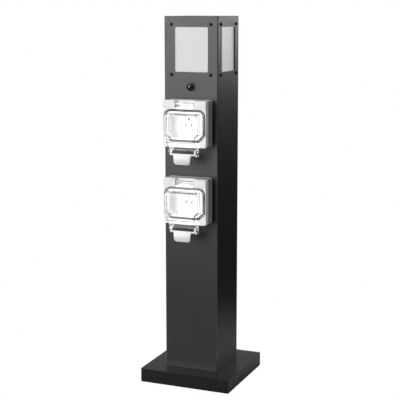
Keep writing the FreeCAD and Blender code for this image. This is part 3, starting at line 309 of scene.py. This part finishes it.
def moulded_plastic(name, colour, roughness, texture_mm=0.5, depth_mm=0.02):
    """Injection-moulded plastic with a spark-eroded texture, flow clouds and a little dust."""
    finish = Finish(name)
    texture = finish.noise(texture_mm, detail=3.0)
    flow = finish.noise(24.0, stretch=(1, 1, 0.4))
    dust = finish.noise(3.0, detail=6.0).above(0.68, 0.04)
    base = finish.mix(flow, shade(colour, 0.96), shade(colour, 1.02))
    base = finish.mix(dust * 0.25, base, shade(colour, 0.8))
    return finish.surface({
        "Base Color": base,
        "Roughness": texture * 0.1 + flow * 0.06 + (roughness - 0.08),
        "Normal": finish.bump(texture, depth_mm),
    })


def box_with_flange_highlight(name, wall_colour, flange_highlight_colour, flange_y):
    """Grey side walls with draw marks from front to back, and the band over the flange at the back
    painted white as a highlight along the box's back edge.
    """
    finish = Finish(name)
    texture = finish.noise(0.5, detail=3.0)
    draw = finish.noise(2.5, detail=3.0, stretch=(1, 0.12, 1))
    # Painted highlight: the back band, over the flange, is white against the grey walls.
    flange = finish.axis("Y").above(flange_y, 0.2 * MM)
    wall = finish.mix(draw, shade(wall_colour, 0.86), shade(wall_colour, 1.15))
    return finish.surface({
        "Base Color": finish.mix(flange, wall, rgb(flange_highlight_colour)),
        "Roughness": texture * 0.12 + draw * 0.08 + 0.33,
        "Normal": finish.bump(texture + draw * 0.6, 0.02),
    })


def slotted_face(name, colour, face_y, contacts):
    """Glossy white moulding with painted shade in its slots: near black below its face, within the
    contacts' box.
    """
    margin, soft = 2 * MM, 0.1 * MM
    finish = Finish(name)
    fine = finish.noise(0.4, detail=3.0)
    cloud = finish.noise(22.0)
    low, high = contacts
    # Painted shade: behind the face, round the contacts, the moulding is near black, as the slots'
    # shadowed insides.
    slot_shade = finish.axis("Y").above(face_y + 0.3 * MM, 0.15 * MM)
    for axis, start, end in (("X", low.x, high.x), ("Z", low.z, high.z)):
        along = finish.axis(axis)
        slot_shade = slot_shade * along.above(start - margin, soft) * (1 - along.above(end + margin, soft))
    base = finish.mix(cloud, shade(colour, 0.97), shade(colour, 1.01))
    base = finish.mix(slot_shade, base, shade(colour, 0.02))
    return finish.surface({
        "Base Color": base,
        "Roughness": fine * 0.06 + slot_shade * 0.2 + 0.28,
        "Normal": finish.bump(fine, 0.008),
    })


def soft_rubber(name, colour, roughness):
    """Moulded rubber: fine pitting and a pale bloom in patches."""
    finish = Finish(name)
    pits = finish.cells(0.7)
    bloom = finish.noise(7.0, detail=4.0).above(0.56, 0.12)
    base = finish.mix(bloom * 0.4, rgb(colour), shade(colour, 1.9))
    return finish.surface({
        "Base Color": base,
        "Roughness": bloom * 0.12 + pits * 0.08 + (roughness - 0.1),
        "Normal": finish.bump(pits, 0.04),
    })


def clear_shell(name, tint, roughness):
    """Clear polycarbonate: faint moulding ripple, hairline scratches and a trace of haze.

    Lamps shine straight through it, so what it covers is lit.
    """
    finish = Finish(name)
    ripple = finish.noise(16.0, detail=1.0)
    haze = finish.noise(30.0, detail=3.0)
    hairlines = finish.noise(1.2, detail=3.0, stretch=(1, 1, 0.05)).above(0.66, 0.03)
    glass = finish.principled({
        "Base Color": finish.mix(haze, shade(tint, 0.985), rgb(tint)),
        "Roughness": hairlines * 0.08 + haze * 0.02 + roughness,
        "IOR": 1.5,
        "Transmission Weight": 1.0,
        "Normal": finish.bump(ripple, 0.04),
    })
    passing = finish.node("ShaderNodeBsdfTransparent", {}, {"Color": rgb(tint)}, "BSDF")
    return finish.close(finish.blend(finish.light_path("Is Shadow Ray"), glass, passing))


def bright_metal(name, colour, roughness, grain):
    """Drawn or plated metal: grain stretched along an axis, light stains and fine scratches."""
    finish = Finish(name)
    lines = finish.noise(0.6, detail=3.0, stretch=grain)
    stain = finish.noise(11.0, detail=4.0).above(0.52, 0.2)
    base = finish.mix(lines * 0.6 + stain * 0.4, shade(colour, 1.05), shade(colour, 0.72))
    return finish.surface({
        "Base Color": base,
        "Metallic": 1.0,
        "Roughness": lines * 0.16 + stain * 0.12 + (roughness - 0.1),
        "Normal": finish.bump(lines, 0.012),
    })


def spangled_zinc(name, colour):
    """Galvanised plate: crystal spangle with dull and bright patches."""
    finish = Finish(name)
    spangle = finish.cells(7.0, "Color")
    tone = finish.node("ShaderNodeSeparateXYZ", {}, {"Vector": spangle}, "X")
    grit = finish.noise(0.8, detail=3.0)
    return finish.surface({
        "Base Color": finish.mix(tone, shade(colour, 0.72), shade(colour, 1.08)),
        "Metallic": 1.0,
        "Roughness": tone * 0.22 + grit * 0.08 + 0.25,
        "Normal": finish.bump(grit + tone * 0.4, 0.015),
    })


def blackened_steel(name, colour, roughness):
    """Black-oxide screws with a fine grit, rubbed brighter in patches."""
    finish = Finish(name)
    grit = finish.noise(0.35, detail=4.0)
    rub = finish.noise(1.4, detail=3.0).above(0.58, 0.1)
    return finish.surface({
        "Base Color": finish.mix(rub * 0.5, rgb(colour), shade(colour, 2.6)),
        "Metallic": 0.6,
        "Roughness": grit * 0.18 + (roughness - 0.06),
        "Normal": finish.bump(grit, 0.02),
    })


def gloss_lens(name, colour):
    """Deep smoked acrylic with a polished skin and the odd speck of dust."""
    finish = Finish(name)
    depth = finish.noise(9.0)
    dust = finish.noise(0.5, detail=6.0).above(0.7, 0.03)
    base = finish.mix(depth, shade(colour, 0.7), shade(colour, 1.4))
    return finish.surface({
        "Base Color": finish.mix(dust * 0.3, base, shade(colour, 6.0)),
        "Roughness": dust * 0.2 + depth * 0.03 + 0.1,
        "Coat Weight": 0.6,
        "Coat Roughness": 0.04,
        "Normal": finish.bump(depth, 0.03),
    })


def threaded_cap(name, colour):
    """Plated bulb cap with rolled threads round it."""
    pitch = 3.6 * MM
    finish = Finish(name)
    thread = (finish.axis("Z") * (2 * math.pi / pitch)).math("SINE")
    grit = finish.noise(0.8, detail=3.0)
    return finish.surface({
        "Base Color": finish.mix(grit, shade(colour, 0.8), shade(colour, 1.05)),
        "Metallic": 1.0,
        "Roughness": grit * 0.2 + 0.2,
        "Normal": finish.bump(thread, 0.4),
    })


# ---------------------------------------------------------------- sizes and colours
def size_prop(name, description, millimetres):
    """A length that a user can change, in metres."""
    return bpy.props.FloatProperty(name=name, description=description, default=millimetres * MM,
                                   min=0.0, unit="LENGTH")


def colour_prop(name, description, colour):
    """A colour that a user can change."""
    return bpy.props.FloatVectorProperty(name=name, description=description, default=colour,
                                         min=0.0, max=1.0, size=3, subtype="COLOR")


class PowerPostSizes(bpy.types.PropertyGroup):
    """Sizes of the detail pieces."""
    window_screw_inset: size_prop("Window Screw Inset", "Window screw from the panel's edge", 6.0)
    screw_head_radius: size_prop("Pan Head Radius", "Radius of the window and plinth screws", 3.5)
    screw_head_height: size_prop("Pan Head Height", "Height of the window and plinth screws", 2.4)
    screw_shank_radius: size_prop("Shank Radius", "Shank of the window and plinth screws", 2.0)
    small_head_radius: size_prop("Small Head Radius", "Radius of the socket's screws", 2.9)
    small_head_height: size_prop("Small Head Height", "Height of the socket's screws", 2.0)
    small_shank_radius: size_prop("Small Shank Radius", "Shank of the socket's screws", 1.75)
    recess_depth: size_prop("Recess Depth", "Depth of the cross recess", 1.3)
    recess_width: size_prop("Recess Width", "Width of one arm of the cross recess", 0.9)
    sensor_rim: size_prop("Sensor Rim", "Thickness of the ring round the sensor's dome", 1.2)
    tongue_height: size_prop("Tongue Height", "Latch tongue from its tip to its bar", 20.0)
    tongue_width: size_prop("Tongue Width", "Width of the latch tongue at its bar", 38.0)
    tongue_bulge: size_prop("Tongue Bulge", "How far the latch tongue swells forward", 3.0)
    latch_bar: size_prop("Latch Bar", "Thickness of the bar between the latch's arms", 3.5)
    latch_arm: size_prop("Latch Arm", "Width of each latch arm", 3.4)
    box_flange: size_prop("Box Flange", "Thickness of the flange and gasket behind the box", 4.5)


class PowerPostColours(bpy.types.PropertyGroup):
    """Colours of the finishes."""
    powder: colour_prop("Powder Coat", "Column and head", (0.0155, 0.0158, 0.0164))
    plinth: colour_prop("Plinth", "Plinth cover", (0.004, 0.0045, 0.0056))
    opal: colour_prop("Opal Acrylic", "Lantern windows", (0.25, 0.25, 0.25))
    # The windows' painted glow: emission that stands in for daylight through the opal sheet.
    painted_glow: colour_prop("Window Glow", "Daylight through the lantern windows", (0.39, 0.38, 0.384))
    white: colour_prop("White Plastic", "Socket frames and latches", (0.86, 0.863, 0.866))
    box_wall: colour_prop("Box Wall", "Side walls of the socket boxes", (0.26, 0.26, 0.265))
    clear: colour_prop("Clear Cover", "Tint of the clear covers", (0.97, 0.98, 0.985))
    seal: colour_prop("Seal", "Cover seals and gaskets", (0.018, 0.018, 0.02))
    screw: colour_prop("Dark Screw", "Window and plinth screws", (0.012, 0.012, 0.013))
    sensor: colour_prop("Sensor", "Dusk sensor's dome", (0.004, 0.004, 0.0045))
    zinc: colour_prop("Zinc", "Plates and nuts", (0.60, 0.60, 0.58))
    steel: colour_prop("Stainless Steel", "Pins, yokes and socket screws", (0.66, 0.66, 0.65))
    brass: colour_prop("Brass", "Contacts", (0.78, 0.58, 0.26))


def settings():
    """The scene's sizes and its colours."""
    scene = bpy.context.scene
    return scene.power_post_sizes, scene.power_post_colours


# ---------------------------------------------------------------- mesh helpers
def finish_piece(bm, name, material, body, replaced, smooth_angle=35.0):
    """Turn a bmesh into a piece that rides on a body and stands for CAD nodes."""
    mesh = bpy.data.meshes.new(name)
    bm.to_mesh(mesh)
    bm.free()
    mesh.materials.append(material)
    for polygon in mesh.polygons:
        polygon.use_smooth = True
    mesh.set_sharp_from_angle(angle=math.radians(smooth_angle))
    piece = bpy.data.objects.new(name, mesh)
    bpy.context.scene.collection.objects.link(piece)
    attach(piece, body)
    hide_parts(*replaced)


def paint(material, *names):
    """Give CAD nodes a finish."""
    for name in names:
        for material_slot in NODES[name].material_slots:
            material_slot.material = material


def both(*names):
    """The same node names on the upper and the lower socket."""
    return [f"{socket}_{name}" for socket in SOCKETS for name in names]


def lathe(profile, steps):
    """A closed skin turned about Z from an outline of radii and heights."""
    bm = bmesh.new()
    verts = [bm.verts.new((radius, 0, height)) for radius, height in profile]
    edges = [bm.edges.new(pair) for pair in zip(verts, verts[1:])]
    bmesh.ops.spin(bm, geom=verts + edges, cent=(0, 0, 0), axis=(0, 0, 1), angle=2 * math.pi,
                   steps=steps, use_merge=True)
    bmesh.ops.remove_doubles(bm, verts=bm.verts, dist=WELD)
    bmesh.ops.recalc_face_normals(bm, faces=bm.faces)
    return bm


def round_edges(bm, edges, radius, segments):
    """Round these edges off."""
    bmesh.ops.bevel(bm, geom=edges, offset=radius, segments=segments, profile=0.5,
                    affect="EDGES", material=-1)


def block(size):
    """A block about the origin."""
    bm = bmesh.new()
    bmesh.ops.create_cube(bm, size=1.0)
    bmesh.ops.scale(bm, verts=bm.verts, vec=size)
    return bm


def put(bm, at, turn=None):
    """Turn a shape about the origin, then move it to its place."""
    if turn is not None:
        bmesh.ops.rotate(bm, verts=bm.verts, cent=(0, 0, 0), matrix=turn)
    bmesh.ops.translate(bm, verts=bm.verts, vec=at)


def join(bm, part):
    """Add a finished part to a shape."""
    mesh = bpy.data.meshes.new("part")
    part.to_mesh(mesh)
    part.free()
    bm.from_mesh(mesh)
    bpy.data.meshes.remove(mesh)


def pan_head(head_radius, head_height, shank_radius, length, recess_depth, recess_width):
    """A pan-head screw with a cross recess, its seat at the origin and its head facing up."""
    profile = [(radius * head_radius, height * head_height) for radius, height in CROWN]
    profile += [(shank_radius, 0.0), (shank_radius, -POINT_START * length),
                (POINT_END * shank_radius, -length), (0.0, -length)]
    bm = lathe(profile, steps=24)

    half_width, half_length = recess_width / 2, head_radius * RECESS_REACH
    crown = head_height * CROWN_MIDDLE
    for axis in ((1, 0, 0), (0, 1, 0)):
        for distance in (-half_length, -half_width, half_width, half_length):
            top = [face for face in bm.faces if face.calc_center_median().z > crown]
            edges = dict.fromkeys(edge for face in top for edge in face.edges)
            verts = dict.fromkeys(vert for face in top for vert in face.verts)
            bmesh.ops.bisect_plane(bm, geom=[*top, *edges, *verts], dist=CUT,
                                   plane_co=Vector(axis) * distance, plane_no=axis)
    recess = []
    for face in bm.faces:
        centre = face.calc_center_median()
        across, along = sorted((abs(centre.x), abs(centre.y)))
        if centre.z > crown and across < half_width and along < half_length:
            recess.append(face)
    lowered = bmesh.ops.extrude_face_region(bm, geom=recess)
    bmesh.ops.delete(bm, geom=recess, context="FACES_ONLY")
    floor = [item for item in lowered["geom"] if isinstance(item, bmesh.types.BMVert)]
    bmesh.ops.scale(bm, verts=floor, vec=(RECESS_TAPER, RECESS_TAPER, 0.0))
    bmesh.ops.translate(bm, verts=floor, vec=(0, 0, head_height - recess_depth))
    bmesh.ops.recalc_face_normals(bm, faces=bm.faces)
    screw = bpy.data.meshes.new("screw")
    bm.to_mesh(screw)
    bm.free()
    return screw


def big_screw(length):
    """A window or plinth screw."""
    sizes, _ = settings()
    return pan_head(sizes.screw_head_radius, sizes.screw_head_height, sizes.screw_shank_radius,
                    length, sizes.recess_depth, sizes.recess_width)


def small_screw(length):
    """A socket's screw, with a finer recess."""
    sizes, _ = settings()
    return pan_head(sizes.small_head_radius, sizes.small_head_height, sizes.small_shank_radius,
                    length, sizes.recess_depth * SMALL_RECESS_DEPTH,
                    sizes.recess_width * SMALL_RECESS_WIDTH)


def side_by_side(low, high, seat_y, head_radius, direction):
    """Places of two screws at the left and right of a box, level with its middle."""
    middle = (low.z + high.z) / 2
    return [((x, seat_y, middle), direction) for x in (low.x + head_radius, high.x - head_radius)]


def set_of(shape, places):
    """Copies of one mesh. Each place is a seat point and the direction the head faces."""
    bm = bmesh.new()
    for at, direction in places:
        turn = Vector(direction).to_track_quat("Z", "Y").to_matrix().to_4x4()
        one = shape.copy()
        one.transform(Matrix.Translation(at) @ turn)
        bm.from_mesh(one)
        bpy.data.meshes.remove(one)
    bpy.data.meshes.remove(shape)
    return bm


# ---------------------------------------------------------------- operators
class POWERPOST_OT_column(bpy.types.Operator):
    """Powder coat on the column, its top plate, the plinth cover and the foot weld."""
    bl_idname = "power_post.column"
    bl_label = "Coat Column and Plinth"

    def execute(self, context):
        _, colours = settings()
        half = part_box("post_tube")[1].x
        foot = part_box("base_cover")[1].x
        paint(powder_coat("powder_coat_column", colours.powder, worn_highlit_edge_half=half - 1.2 * MM,
                          roughness=0.36), "post_tube", "top_plate")
        paint(powder_coat("powder_coat_plinth", colours.plinth, worn_highlit_edge_half=foot - 1.0 * MM,
                          roughness=0.25, texture_mm=0.9, depth_mm=0.012, gloss=0.38), "base_cover")
        paint(powder_coat("powder_coat_weld", colours.powder, worn_highlit_edge_half=half + 4.0 * MM,
                          roughness=0.5, texture_mm=2.0), "foot_weld")
        return {"FINISHED"}


class POWERPOST_OT_window_screws(bpy.types.Operator):
    """Cross-recess screws at the corners of the four windows, and the plinth's two at the back."""
    bl_idname = "power_post.window_screws"
    bl_label = "Window and Plinth Screws"

    def execute(self, context):
        sizes, colours = settings()
        steel = blackened_steel("blackened_screw_steel", colours.screw, 0.42)
        low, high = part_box("diffuser_front")
        inset = sizes.window_screw_inset
        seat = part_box("post_tube")[0].y
        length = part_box("window_screws")[1].y - sizes.screw_head_height
        length = length - abs(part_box("diffuser_back")[0].y) + SCREW_PAST_WINDOW
        places = []
        for quarter in range(4):
            turn = Matrix.Rotation(quarter * math.pi / 2, 3, "Z")
            for x in (low.x + inset, high.x - inset):
                for z in (low.z + inset, high.z - inset):
                    places.append((turn @ Vector((x, seat, z)), turn @ Vector((0, -1, 0))))
        bm = set_of(big_screw(length), places)
        finish_piece(bm, "window_screw_set", steel, "post", ["window_screws"])

        low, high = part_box("base_cover_screws")
        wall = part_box("base_cover")[1].y
        places = side_by_side(low, high, wall, sizes.screw_head_radius, (0, 1, 0))
        bm = set_of(big_screw(wall - low.y), places)
        finish_piece(bm, "plinth_screw_set", steel, "post", ["base_cover_screws"])
        return {"FINISHED"}


class POWERPOST_OT_sensor(bpy.types.Operator):
    """Dusk sensor: a stepped rim with a polished dome, its threaded body, gasket and nut."""
    bl_idname = "power_post.sensor"
    bl_label = "Dusk Sensor"

    def execute(self, context):
        sizes, colours = settings()
        low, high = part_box("sensor_lens")
        radius = (high.x - low.x) / 2
        depth = high.y - low.y
        rim = sizes.sensor_rim
        dome_radius = radius * DOME_REACH
        rise = depth - rim
        sphere = (dome_radius ** 2 + rise ** 2) / (2 * rise)
        profile = [(share * radius, height * rim) for share, height in SENSOR_RIM]
        profile.append((dome_radius * RING_OPENING, rim))
        reach = math.asin(dome_radius / sphere)
        for step in range(DOME_STEPS + 1):
            angle = reach * (1 - step / DOME_STEPS)
            profile.append((sphere * math.sin(angle), rim + rise - sphere * (1 - math.cos(angle))))
        bm = lathe(profile, steps=48)
        centre = (low + high) / 2
        put(bm, (centre.x, high.y, centre.z), Matrix.Rotation(math.pi / 2, 3, "X"))
        lens = gloss_lens("smoked_sensor_lens", colours.sensor)
        finish_piece(bm, "sensor_dome", lens, "post", ["sensor_lens"], 28.0)
        paint(moulded_plastic("sensor_body_plastic", SENSOR_BODY_BLACK, 0.45), "sensor_body")
        paint(soft_rubber("sensor_gasket_rubber", colours.seal, 0.7), "sensor_gasket")
        paint(spangled_zinc("sensor_nut_zinc", colours.zinc), "sensor_nut")
        return {"FINISHED"}


class POWERPOST_OT_lantern(bpy.types.Operator):
    """Opal windows with their gaskets and nuts, and the lamp behind them."""
    bl_idname = "power_post.lantern"
    bl_label = "Lantern Head"

    def execute(self, context):
        _, colours = settings()
        paint(opal_acrylic("opal_window_acrylic", colours.opal, colours.painted_glow),
              *[f"diffuser_{wall}" for wall in WALLS])
        paint(soft_rubber("window_gasket_rubber", colours.seal, 0.7), "window_gaskets")
        paint(spangled_zinc("shelf_zinc", colours.zinc),
              "lamp_shelf", "window_nuts", "lamp_holder_screws")
        paint(moulded_plastic("lamp_holder_plastic", LAMP_HOLDER_BLACK, 0.5), "lamp_holder")
        paint(threaded_cap("bulb_cap_plating", colours.steel), "bulb_cap")
        paint(moulded_plastic("bulb_body_plastic", BULB_WHITE, 0.45), "bulb_body")
        paint(opal_acrylic("bulb_globe_opal", GLOBE_WHITE, GLOBE_GLOW), "bulb_globe")
        return {"FINISHED"}


class POWERPOST_OT_foot(bpy.types.Operator):
    """Base plate, cover tabs, earth stud and cable grommet inside the foot."""
    bl_idname = "power_post.foot"
    bl_label = "Foot Fittings"

    def execute(self, context):
        _, colours = settings()
        paint(spangled_zinc("foot_zinc", colours.zinc),
              "base_plate", "base_cover_tabs", "earth_nuts")
        paint(bright_metal("earth_stud_brass", colours.brass, 0.35, (1, 1, 6)), "earth_stud")
        paint(soft_rubber("entry_grommet_rubber", colours.seal, 0.62), "entry_grommet")
        return {"FINISHED"}


class POWERPOST_OT_sockets(bpy.types.Operator):
    """White frames and receptacles, grey boxes, dark seals and the metal parts of both sockets."""
    bl_idname = "power_post.sockets"
    bl_label = "Sockets"

    def execute(self, context):
        sizes, colours = settings()
        white = moulded_plastic("white_socket_plastic", colours.white, 0.4,
                                texture_mm=0.55, depth_mm=0.014)
        paint(white, *both("frame"))
        for socket in SOCKETS:
            face = f"{socket}_receptacle_face"
            paint(slotted_face(f"{face}_white", shade(colours.white, 0.85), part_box(face)[0].y,
                               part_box(f"{socket}_receptacle_contacts")), face)
        paint(moulded_plastic("receptacle_body_grey", RECEPTACLE_GREY, 0.5),
              *both("receptacle_body"))
        # The box's back band, over its flange, is painted white as a highlight.
        flange_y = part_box("upper_box_gasket")[1].y - sizes.box_flange
        paint(box_with_flange_highlight("box_plastic_flange_highlight", colours.box_wall, colours.white, flange_y),
              *both("box"))
        paint(soft_rubber("cover_seal_foam", colours.seal, 0.75), *both("cover_seal", "box_gasket"))
        # Painted shade: the hinge and latch pins are steel at 0.4 of its brightness, as the dark
        # lines of shade in the hinge pocket.
        paint(bright_metal("stainless_pins_painted_shade", shade(colours.steel, 0.4), 0.34, (0.05, 1, 1)),
              *both("hinge_pin", "latch_pins"))
        paint(bright_metal("stainless_yoke", colours.steel, 0.36, (1, 1, 0.06)),
              *both("yoke", "yoke_screws", "box_screws", "terminal_screws"))
        paint(bright_metal("contact_brass", colours.brass, 0.3, (1, 0.06, 1)),
              *both("receptacle_contacts"))
        screw_white = moulded_plastic("white_screw_enamel", colours.white, 0.3,
                                      texture_mm=0.4, depth_mm=0.01)
        for socket in SOCKETS:
            low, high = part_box(f"{socket}_frame_screws")
            seat = low.y + sizes.small_head_height
            places = side_by_side(low, high, seat, sizes.small_head_radius, (0, -1, 0))
            bm = set_of(small_screw(high.y - seat), places)
            finish_piece(bm, f"{socket}_cover_plate_screws", screw_white, "post",
                         [f"{socket}_frame_screws"])
        return {"FINISHED"}


class POWERPOST_OT_latches(bpy.types.Operator):
    """White latches: a soft curved tongue on a round bar, with an arm, hub and hook at each end."""
    bl_idname = "power_post.latches"
    bl_label = "Cover Latches"

    def execute(self, context):
        _, colours = settings()
        white = moulded_plastic("white_latch_plastic", colours.white, 0.36,
                                texture_mm=0.5, depth_mm=0.012)
        for socket in SOCKETS:
            finish_piece(self.latch(socket), f"{socket}_latch_lever", white, f"{socket}_latch",
                         [f"{socket}_latch"], 60.0)
        return {"FINISHED"}

    def latch(self, socket):
        """One latch: its pieces are closed shells that run into each other."""
        sizes, _ = settings()
        low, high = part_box(f"{socket}_latch")
        pin_low, pin_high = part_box(f"{socket}_latch_pins")
        pivot = (pin_low + pin_high) / 2
        bar_z = low.z + sizes.tongue_height
        bar_y = low.y + sizes.tongue_bulge + sizes.latch_bar / 2
        bm = bmesh.new()
        self.tongue(bm, low, bar_z)
        self.bar(bm, (0, bar_y, bar_z), high.x - low.x)
        for side in (-1, 1):
            x = side * (high.x - sizes.latch_arm / 2)
            self.arm(bm, x, (bar_y, bar_z), (pivot.y, pivot.z))
            self.hub(bm, x, pivot)
            self.arm(bm, x, (pivot.y, pivot.z), (high.y - HOOK_INSET_Y, high.z - HOOK_INSET_Z))
        return bm

    def tongue(self, bm, low, bar_z):
        """A tapered plate with round corners that bulges forward in its middle."""
        sizes, _ = settings()
        half_width = sizes.tongue_width / 2
        taper = sizes.tongue_width * TONGUE_TIP / half_width
        height = bar_z - low.z
        plate = block((2 * half_width, TONGUE_THICKNESS, height))
        for vert in plate.verts:
            if vert.co.z < 0:
                vert.co.x *= taper
        tips = [edge for edge in plate.edges if all(vert.co.z < 0 for vert in edge.verts)
                and abs(edge.verts[0].co.x - edge.verts[1].co.x) < WELD]
        round_edges(plate, tips, TONGUE_CORNER, segments=8)
        for step in range(1, TONGUE_STEPS):
            geometry = plate.faces[:] + plate.edges[:] + plate.verts[:]
            bmesh.ops.bisect_plane(plate, geom=geometry, dist=CUT, plane_no=(0, 0, 1),
                                   plane_co=(0, 0, height * (step / TONGUE_STEPS - 0.5)))
        rim = [edge for edge in plate.edges if edge.calc_face_angle(0) > TONGUE_RIM_ANGLE]
        round_edges(plate, rim, TONGUE_EDGE, segments=4)
        for vert in plate.verts:
            along = 2 * vert.co.z / height
            across = vert.co.x / half_width
            vert.co.y -= sizes.tongue_bulge * (1 - along ** 2) * (1 - TONGUE_FLATTEN * across ** 2)
            vert.co.y += TONGUE_SIDE_CURL * across ** 2
        front = min(vert.co.y for vert in plate.verts)
        put(plate, (0, low.y - front, low.z + height / 2))
        join(bm, plate)

    def bar(self, bm, centre, width):
        """The round-edged bar between the arms."""
        thickness = settings()[0].latch_bar
        rod = block((width, thickness, thickness))
        round_edges(rod, rod.edges[:], thickness * BAR_ROUNDING, segments=4)
        put(rod, centre)
        join(bm, rod)

    def arm(self, bm, x, start, end):
        """A rounded strap between two points, each a depth and a height."""
        run = Vector((0, end[0] - start[0], end[1] - start[1]))
        strap = block((settings()[0].latch_arm, ARM_THICKNESS, run.length))
        round_edges(strap, strap.edges[:], ARM_ROUNDING, segments=3)
        middle = (x, (start[0] + end[0]) / 2, (start[1] + end[1]) / 2)
        put(strap, middle, Vector((0, 0, 1)).rotation_difference(run).to_matrix())
        join(bm, strap)

    def hub(self, bm, x, pivot):
        """The round boss that turns on the pin."""
        half, face = settings()[0].latch_arm / 2, HUB_RADIUS - HUB_CHAMFER
        boss = lathe([(0.0, half), (face, half), (HUB_RADIUS, half - HUB_CHAMFER),
                      (HUB_RADIUS, HUB_CHAMFER - half), (face, -half), (0.0, -half)], steps=28)
        put(boss, (x, pivot.y, pivot.z), Matrix.Rotation(math.pi / 2, 3, "Y"))
        join(bm, boss)


class POWERPOST_OT_covers(bpy.types.Operator):
    """Clear polycarbonate in-use covers."""
    bl_idname = "power_post.covers"
    bl_label = "Clear Covers"

    def execute(self, context):
        _, colours = settings()
        clear = clear_shell("clear_polycarbonate", colours.clear, 0.015)
        paint(clear, *both("cover"))
        return {"FINISHED"}


class POWERPOST_OT_stage(bpy.types.Operator):
    """Pale floor, soft studio light and the camera."""
    bl_idname = "power_post.stage"
    bl_label = "Studio Stage"

    def execute(self, context):
        scene = context.scene
        scene.view_settings.view_transform = "Standard"
        self.floor()
        self.world(scene)
        for name, lamp in LAMPS.items():
            self.soft_box(name, *lamp)
        self.camera(scene)
        return {"FINISHED"}

    def floor(self):
        """White where it is seen. What it throws back on the post is dimmer, as in a dark room,
        with a painted pool of pale light round the post.
        """
        bm = bmesh.new()
        bmesh.ops.create_circle(bm, cap_ends=True, segments=96, radius=FLOOR_RADIUS)
        mesh = bpy.data.meshes.new("floor")
        bm.to_mesh(mesh)
        bm.free()
        finish = Finish("pale_floor")
        speckle = finish.noise(4.0, detail=3.0)
        cloud = finish.noise(400.0)
        distance = finish.node("ShaderNodeVectorMath", {"operation": "LENGTH"},
                               {0: finish.place}, "Value")
        # Painted pool of light: pale grey round the post, near black farther out.
        grey = finish.mix(distance.above(LIGHT_POOL_RADIUS, LIGHT_POOL_FADE), FLOOR_LIGHT_POOL, FLOOR_DIM)
        matt = finish.principled({
            "Base Color": finish.mix(cloud * 0.1, grey, FLOOR_CLOUD),
            "Roughness": speckle * 0.1 + 0.75,
            "Specular IOR Level": 0.0,
        })
        white = finish.node("ShaderNodeEmission", {}, {"Color": WHITE}, "Emission")
        mesh.materials.append(finish.close(finish.blend(self.straight_ray(finish), matt, white)))
        floor = bpy.data.objects.new("floor", mesh)
        bpy.context.scene.collection.objects.link(floor)
        mesh.transform(Matrix.Translation((0, 0, CAD_BOUNDS[0].z - FLOOR_DROP)))

    @staticmethod
    def straight_ray(finish):
        """1 for what is seen directly or through a clear cover, 0 for what lights or mirrors."""
        return finish.light_path("Is Camera Ray").most(finish.light_path("Is Transmission Ray"))

    def world(self, scene):
        """White behind the post, and a dim surround that lightens towards the top."""
        world = bpy.data.worlds.new("studio_surround")
        scene.world = world
        finish = Finish("studio_surround", world)
        inputs = {"Value": finish.axis("Z"), "From Min": SKY_FOOT, "From Max": SKY_TOP,
                  "To Min": SKY_DIM, "To Max": SKY_PALE}
        sky = finish.node("ShaderNodeMapRange", {"interpolation_type": "SMOOTHSTEP"}, inputs)
        colour = finish.mix(self.straight_ray(finish), sky, WHITE)
        background = finish.node("ShaderNodeBackground", {}, {"Color": colour}, "Background")
        finish.close(background, "ShaderNodeOutputWorld")

    def soft_box(self, name, at, target, size, power):
        """A rectangular lamp that the camera doesn't see."""
        light = bpy.data.lights.new(name, "AREA")
        light.shape = "RECTANGLE"
        light.size, light.size_y = size
        light.energy = power
        lamp = bpy.data.objects.new(name, light)
        bpy.context.scene.collection.objects.link(lamp)
        lamp.location = at
        lamp.rotation_euler = (Vector(target) - Vector(at)).to_track_quat("-Z", "Y").to_euler()
        lamp.visible_camera = False

    def camera(self, scene):
        """A long lens a little above the post, to its right, with no shift and no blur."""
        data = bpy.data.cameras.new("product_camera")
        data.lens = CAMERA_LENS
        data.sensor_width = CAMERA_SENSOR
        data.dof.use_dof = False
        camera = bpy.data.objects.new("product_camera", data)
        scene.collection.objects.link(camera)
        camera.location = CAMERA_PLACE
        level = math.cos(CAMERA_PITCH)
        forward = Vector((-math.sin(CAMERA_AZIMUTH) * level, math.cos(CAMERA_AZIMUTH) * level,
                          -math.sin(CAMERA_PITCH)))
        camera.rotation_euler = forward.to_track_quat("-Z", "Y").to_euler()
        scene.camera = camera


class POWERPOST_PT_panel(bpy.types.Panel):
    """Sidebar panel with the post's pieces, sizes and colours."""
    bl_idname = "POWERPOST_PT_panel"
    bl_label = "Power Post"
    bl_space_type = "VIEW_3D"
    bl_region_type = "UI"
    bl_category = "Power Post"

    def draw(self, context):
        layout = self.layout
        for operator in OPERATORS:
            layout.operator(operator.bl_idname)
        for group in settings():
            box = layout.box()
            for name in group.bl_rna.properties.keys():
                if name not in ("rna_type", "name"):
                    box.prop(group, name)


OPERATORS = (
    POWERPOST_OT_column,
    POWERPOST_OT_window_screws,
    POWERPOST_OT_sensor,
    POWERPOST_OT_lantern,
    POWERPOST_OT_foot,
    POWERPOST_OT_sockets,
    POWERPOST_OT_latches,
    POWERPOST_OT_covers,
    POWERPOST_OT_stage,
)
CLASSES = (PowerPostSizes, PowerPostColours, *OPERATORS, POWERPOST_PT_panel)


def register():
    for cls in CLASSES:
        bpy.utils.register_class(cls)
    bpy.types.Scene.power_post_sizes = bpy.props.PointerProperty(type=PowerPostSizes)
    bpy.types.Scene.power_post_colours = bpy.props.PointerProperty(type=PowerPostColours)


def unregister():
    del bpy.types.Scene.power_post_colours
    del bpy.types.Scene.power_post_sizes
    for cls in reversed(CLASSES):
        bpy.utils.unregister_class(cls)


def main():
    register()
    bpy.ops.power_post.column()
    bpy.ops.power_post.window_screws()
    bpy.ops.power_post.sensor()
    bpy.ops.power_post.lantern()
    bpy.ops.power_post.foot()
    bpy.ops.power_post.sockets()
    bpy.ops.power_post.latches()
    bpy.ops.power_post.covers()
    bpy.ops.power_post.stage()


if __name__ == "__main__":
    main()
